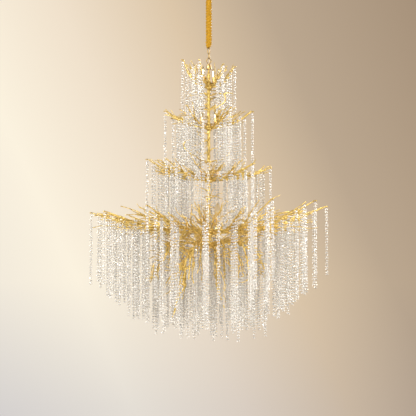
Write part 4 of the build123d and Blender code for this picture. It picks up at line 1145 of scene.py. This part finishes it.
def wire_ring(radius, wire, steps, sides, matrix):
    """A closed ring of round wire, spun from a small circle."""
    bm = bmesh.new()
    bmesh.ops.create_circle(bm, radius=wire, segments=sides)
    bmesh.ops.rotate(bm, verts=bm.verts, cent=(0, 0, 0), matrix=Matrix.Rotation(pi / 2, 3, "X"))
    bmesh.ops.translate(bm, verts=bm.verts, vec=(radius, 0.0, 0.0))
    full_turn(bm, steps)
    bmesh.ops.recalc_face_normals(bm, faces=bm.faces)
    bmesh.ops.transform(bm, matrix=matrix, verts=bm.verts)
    return mesh_from("ring", bm, True)


def full_turn(bm, steps):
    """Spins all of an outline once round the z axis and closes the seam and the poles."""
    bmesh.ops.spin(
        bm, geom=bm.verts[:] + bm.edges[:], cent=(0, 0, 0), axis=(0, 0, 1), angle=2 * pi, steps=steps,
        use_merge=True,
    )
    bmesh.ops.remove_doubles(bm, verts=bm.verts, dist=MERGE)


class StringMaker:
    """Makes strings of a few random builds for each number of rows, and keeps them."""

    builds = 3
    hook_radius = 0.0024
    hook_wire = 0.00045
    hook_faces = (8, 4)  # round the hook and round its wire
    hook_depth = 0.0030  # of the hook's middle below the string's top

    def __init__(self, crystal, seed):
        self.crystal = crystal
        self.rng = random.Random(seed)
        self.drop = faceted_drop(crystal)
        self.made = {}
        upright = Matrix.Translation((0, 0, -self.hook_depth)) @ Matrix.Rotation(pi / 2, 4, "X")
        self.hook = wire_ring(self.hook_radius, self.hook_wire, *self.hook_faces, upright)

    def ear(self, tall):
        rows = max(1, round((tall - self.crystal.neck) / self.crystal.pitch))
        key = (rows, self.rng.randrange(self.builds))
        if key not in self.made:
            self.made[key] = ear_of_drops(self.crystal, self.drop, rows, self.rng)
        return self.made[key]

    def plain_wire(self, tall):
        return mesh_from("wire", string_wire(self.crystal, tall), True)

    def hooked_wire(self, tall):
        bm = string_wire(self.crystal, tall)
        bm.from_mesh(self.hook)
        return mesh_from("wire", bm, True)

    def any_turn(self):
        return Matrix.Rotation(self.rng.uniform(0, 2 * pi), 4, "Z")


def hanging_strings(node):
    """(x, y, top, bottom) of each string of a frame node."""
    bm = merged_copy(node)
    found = []
    for shell in shells(bm):
        foot = min(shell, key=lambda spot: spot.z)
        found.append((foot.x, foot.y, max(spot.z for spot in shell), foot.z))
    bm.free()
    return sorted(found)


class CHANDELIER_OT_strings(Operator):
    """Hangs the fixed crystal strings of every tier"""
    bl_idname = "chandelier.strings"
    bl_label = "Hang the strings"

    seed = 101
    main_parts = 3  # pieces that the main tier's drops are shared between

    def execute(self, context):
        maker = StringMaker(context.scene.chandelier_crystal, self.seed)
        for tier in TIERS:
            node = tier + "_strings"
            strings = sorted(hanging_strings(node), key=lambda string: Vector(string[:2]).length)
            parts = self.main_parts if tier == "main" else 1
            share = ceil(len(strings) / parts)
            wires = bmesh.new()
            for part in range(parts):
                name = f"{node}_drops" if parts == 1 else f"{node}_drops_{part + 1}"
                drops = self.hang(maker, strings[part * share:(part + 1) * share], wires)
                drops = mesh_from(name, drops, False)
                place(name, drops, finish_of("crystal"), "crystal", "fixture", (node,))
            name = node + "_wires"
            place(name, mesh_from(name, wires, True), finish_of("chain"), "gold_branch", "fixture")
        return {"FINISHED"}

    def hang(self, maker, strings, wires):
        """Adds the wires of some strings to those of their tier, and returns the strings' drops."""
        drops = bmesh.new()
        for x, y, top, bottom in strings:
            matrix = Matrix.Translation((x, y, top)) @ maker.any_turn()
            copied(maker.ear(top - bottom), matrix, drops)
            copied(maker.hooked_wire(top - bottom), matrix, wires)
        return drops


class CHANDELIER_OT_tip_strings(Operator):
    """Hangs the strings that swing on the branch tips' pins"""
    bl_idname = "chandelier.tip_strings"
    bl_label = "Hang the tip strings"

    seed = 211
    ring_radius = 0.00335
    ring_wire = 0.0008
    ring_faces = (20, 8)  # round the ring and round its wire
    slim = Matrix.Diagonal((0.91, 0.91, 1.0, 1.0))  # keeps the drops off the bark when a string swings

    def execute(self, context):
        maker = StringMaker(context.scene.chandelier_crystal, self.seed)
        for node in TIP_STRINGS:
            pin = PIN_JOINTS[node]
            centre = Vector(pin["pos_m"])
            top = centre.z - self.ring_radius
            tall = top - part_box(node)[0].z
            matrix = Matrix.Translation((centre.x, centre.y, top)) @ maker.any_turn()
            drops = bmesh.new()
            copied(maker.ear(tall), matrix @ self.slim, drops)
            drops = mesh_from(node + "_drops", drops, False)
            place(node + "_drops", drops, finish_of("crystal"), "crystal", BODY_OF[node], (node,))
            wire = bmesh.new()
            copied(maker.plain_wire(tall), matrix, wire)
            wire.from_mesh(self.pin_ring(centre, Vector(pin["axis"])))
            wire = mesh_from(node + "_wire", wire, True)
            place(node + "_wire", wire, finish_of("chain"), "gold_branch", BODY_OF[node])
        return {"FINISHED"}

    def pin_ring(self, centre, along):
        """The ring that turns on a tip's pin."""
        turned = Vector((0, 0, 1)).rotation_difference(along).to_matrix().to_4x4()
        matrix = Matrix.Translation(centre) @ turned
        return wire_ring(self.ring_radius, self.ring_wire, *self.ring_faces, matrix)


# ---------------------------------------------------------------------------
# Lamps
# ---------------------------------------------------------------------------
# Envelope outlines as (share of the widest radius, share of the height)
CANDLE_OUTLINE = (
    (0.0, 0.0), (0.50, 0.0), (0.54, 0.02), (0.54, 0.22), (0.62, 0.27), (0.82, 0.36), (0.97, 0.47),
    (0.99, 0.54), (0.92, 0.64), (0.74, 0.76), (0.48, 0.87), (0.24, 0.95), (0.08, 0.985), (0.0, 0.995),
)
CAPSULE_OUTLINE = (
    (0.0, 0.0), (0.84, 0.0), (0.90, 0.02), (0.90, 0.36), (0.98, 0.40), (0.98, 0.80), (0.90, 0.90),
    (0.62, 0.965), (0.26, 0.99), (0.0, 0.995),
)


class CHANDELIER_OT_lamps(Operator):
    """Blows the lamps' glass envelopes into their sockets"""
    bl_idname = "chandelier.lamps"
    bl_label = "Fit the lamps"

    steps = 28  # faces round an envelope

    def execute(self, context):
        for node, outline in (("candle_lamps", CANDLE_OUTLINE), ("capsule_lamps", CAPSULE_OUTLINE)):
            source = merged_copy(node)
            bm = bmesh.new()
            for shell in shells(source):
                low = Vector([min(spot[k] for spot in shell) for k in range(3)])
                high = Vector([max(spot[k] for spot in shell) for k in range(3)])
                bm.from_mesh(self.blow(outline, low, high))
            source.free()
            bmesh.ops.recalc_face_normals(bm, faces=bm.faces)
            name = node + "_glass"
            place(name, mesh_from(name, bm, True), finish_of(node), "lamp_glass", "fixture", (node,))
        return {"FINISHED"}

    def blow(self, outline, low, high):
        """One envelope, spun in the box of its solid."""
        middle = (low + high) / 2
        widest = (high.x - low.x) / 2
        bm = bmesh.new()
        verts = [bm.verts.new((widest * r, 0.0, (high.z - low.z) * h)) for r, h in outline]
        for first, second in zip(verts, verts[1:]):
            bm.edges.new((first, second))
        full_turn(bm, self.steps)
        bmesh.ops.translate(bm, verts=bm.verts, vec=(middle.x, middle.y, low.z))
        return mesh_from("envelope", bm, True)


# ---------------------------------------------------------------------------
# Panel and registration
# ---------------------------------------------------------------------------
OPERATORS = (
    CHANDELIER_OT_stage,
    CHANDELIER_OT_hardware,
    CHANDELIER_OT_sleeve,
    CHANDELIER_OT_cable,
    CHANDELIER_OT_branches,
    CHANDELIER_OT_trunk,
    CHANDELIER_OT_strings,
    CHANDELIER_OT_tip_strings,
    CHANDELIER_OT_lamps,
)
SETTINGS = {
    "chandelier_crystal": CrystalSettings,
    "chandelier_gold": GoldSettings,
    "chandelier_sleeve": SleeveSettings,
    "chandelier_stage": StageSettings,
}


class CHANDELIER_PT_sidebar(Panel):
    """Lists the chandelier's settings and its makers"""
    bl_idname = "CHANDELIER_PT_sidebar"
    bl_label = "Chandelier"
    bl_space_type = "VIEW_3D"
    bl_region_type = "UI"
    bl_category = "Chandelier"

    def draw(self, context):
        for name in SETTINGS:
            box = self.layout.box()
            settings = getattr(context.scene, name)
            for prop in settings.bl_rna.properties:
                if prop.identifier not in ("rna_type", "name"):
                    box.prop(settings, prop.identifier)
        for operator in OPERATORS:
            self.layout.operator(operator.bl_idname)


def register():
    for settings in SETTINGS.values():
        bpy.utils.register_class(settings)
    for name, settings in SETTINGS.items():
        setattr(bpy.types.Scene, name, PointerProperty(type=settings))
    for operator in OPERATORS:
        bpy.utils.register_class(operator)
    bpy.utils.register_class(CHANDELIER_PT_sidebar)


def unregister():
    bpy.utils.unregister_class(CHANDELIER_PT_sidebar)
    for operator in reversed(OPERATORS):
        bpy.utils.unregister_class(operator)
    for name, settings in SETTINGS.items():
        delattr(bpy.types.Scene, name)
        bpy.utils.unregister_class(settings)


def main():
    register()
    for operator in OPERATORS:
        family, name = operator.bl_idname.split(".")
        getattr(getattr(bpy.ops, family), name)()


if __name__ == "__main__":
    main()
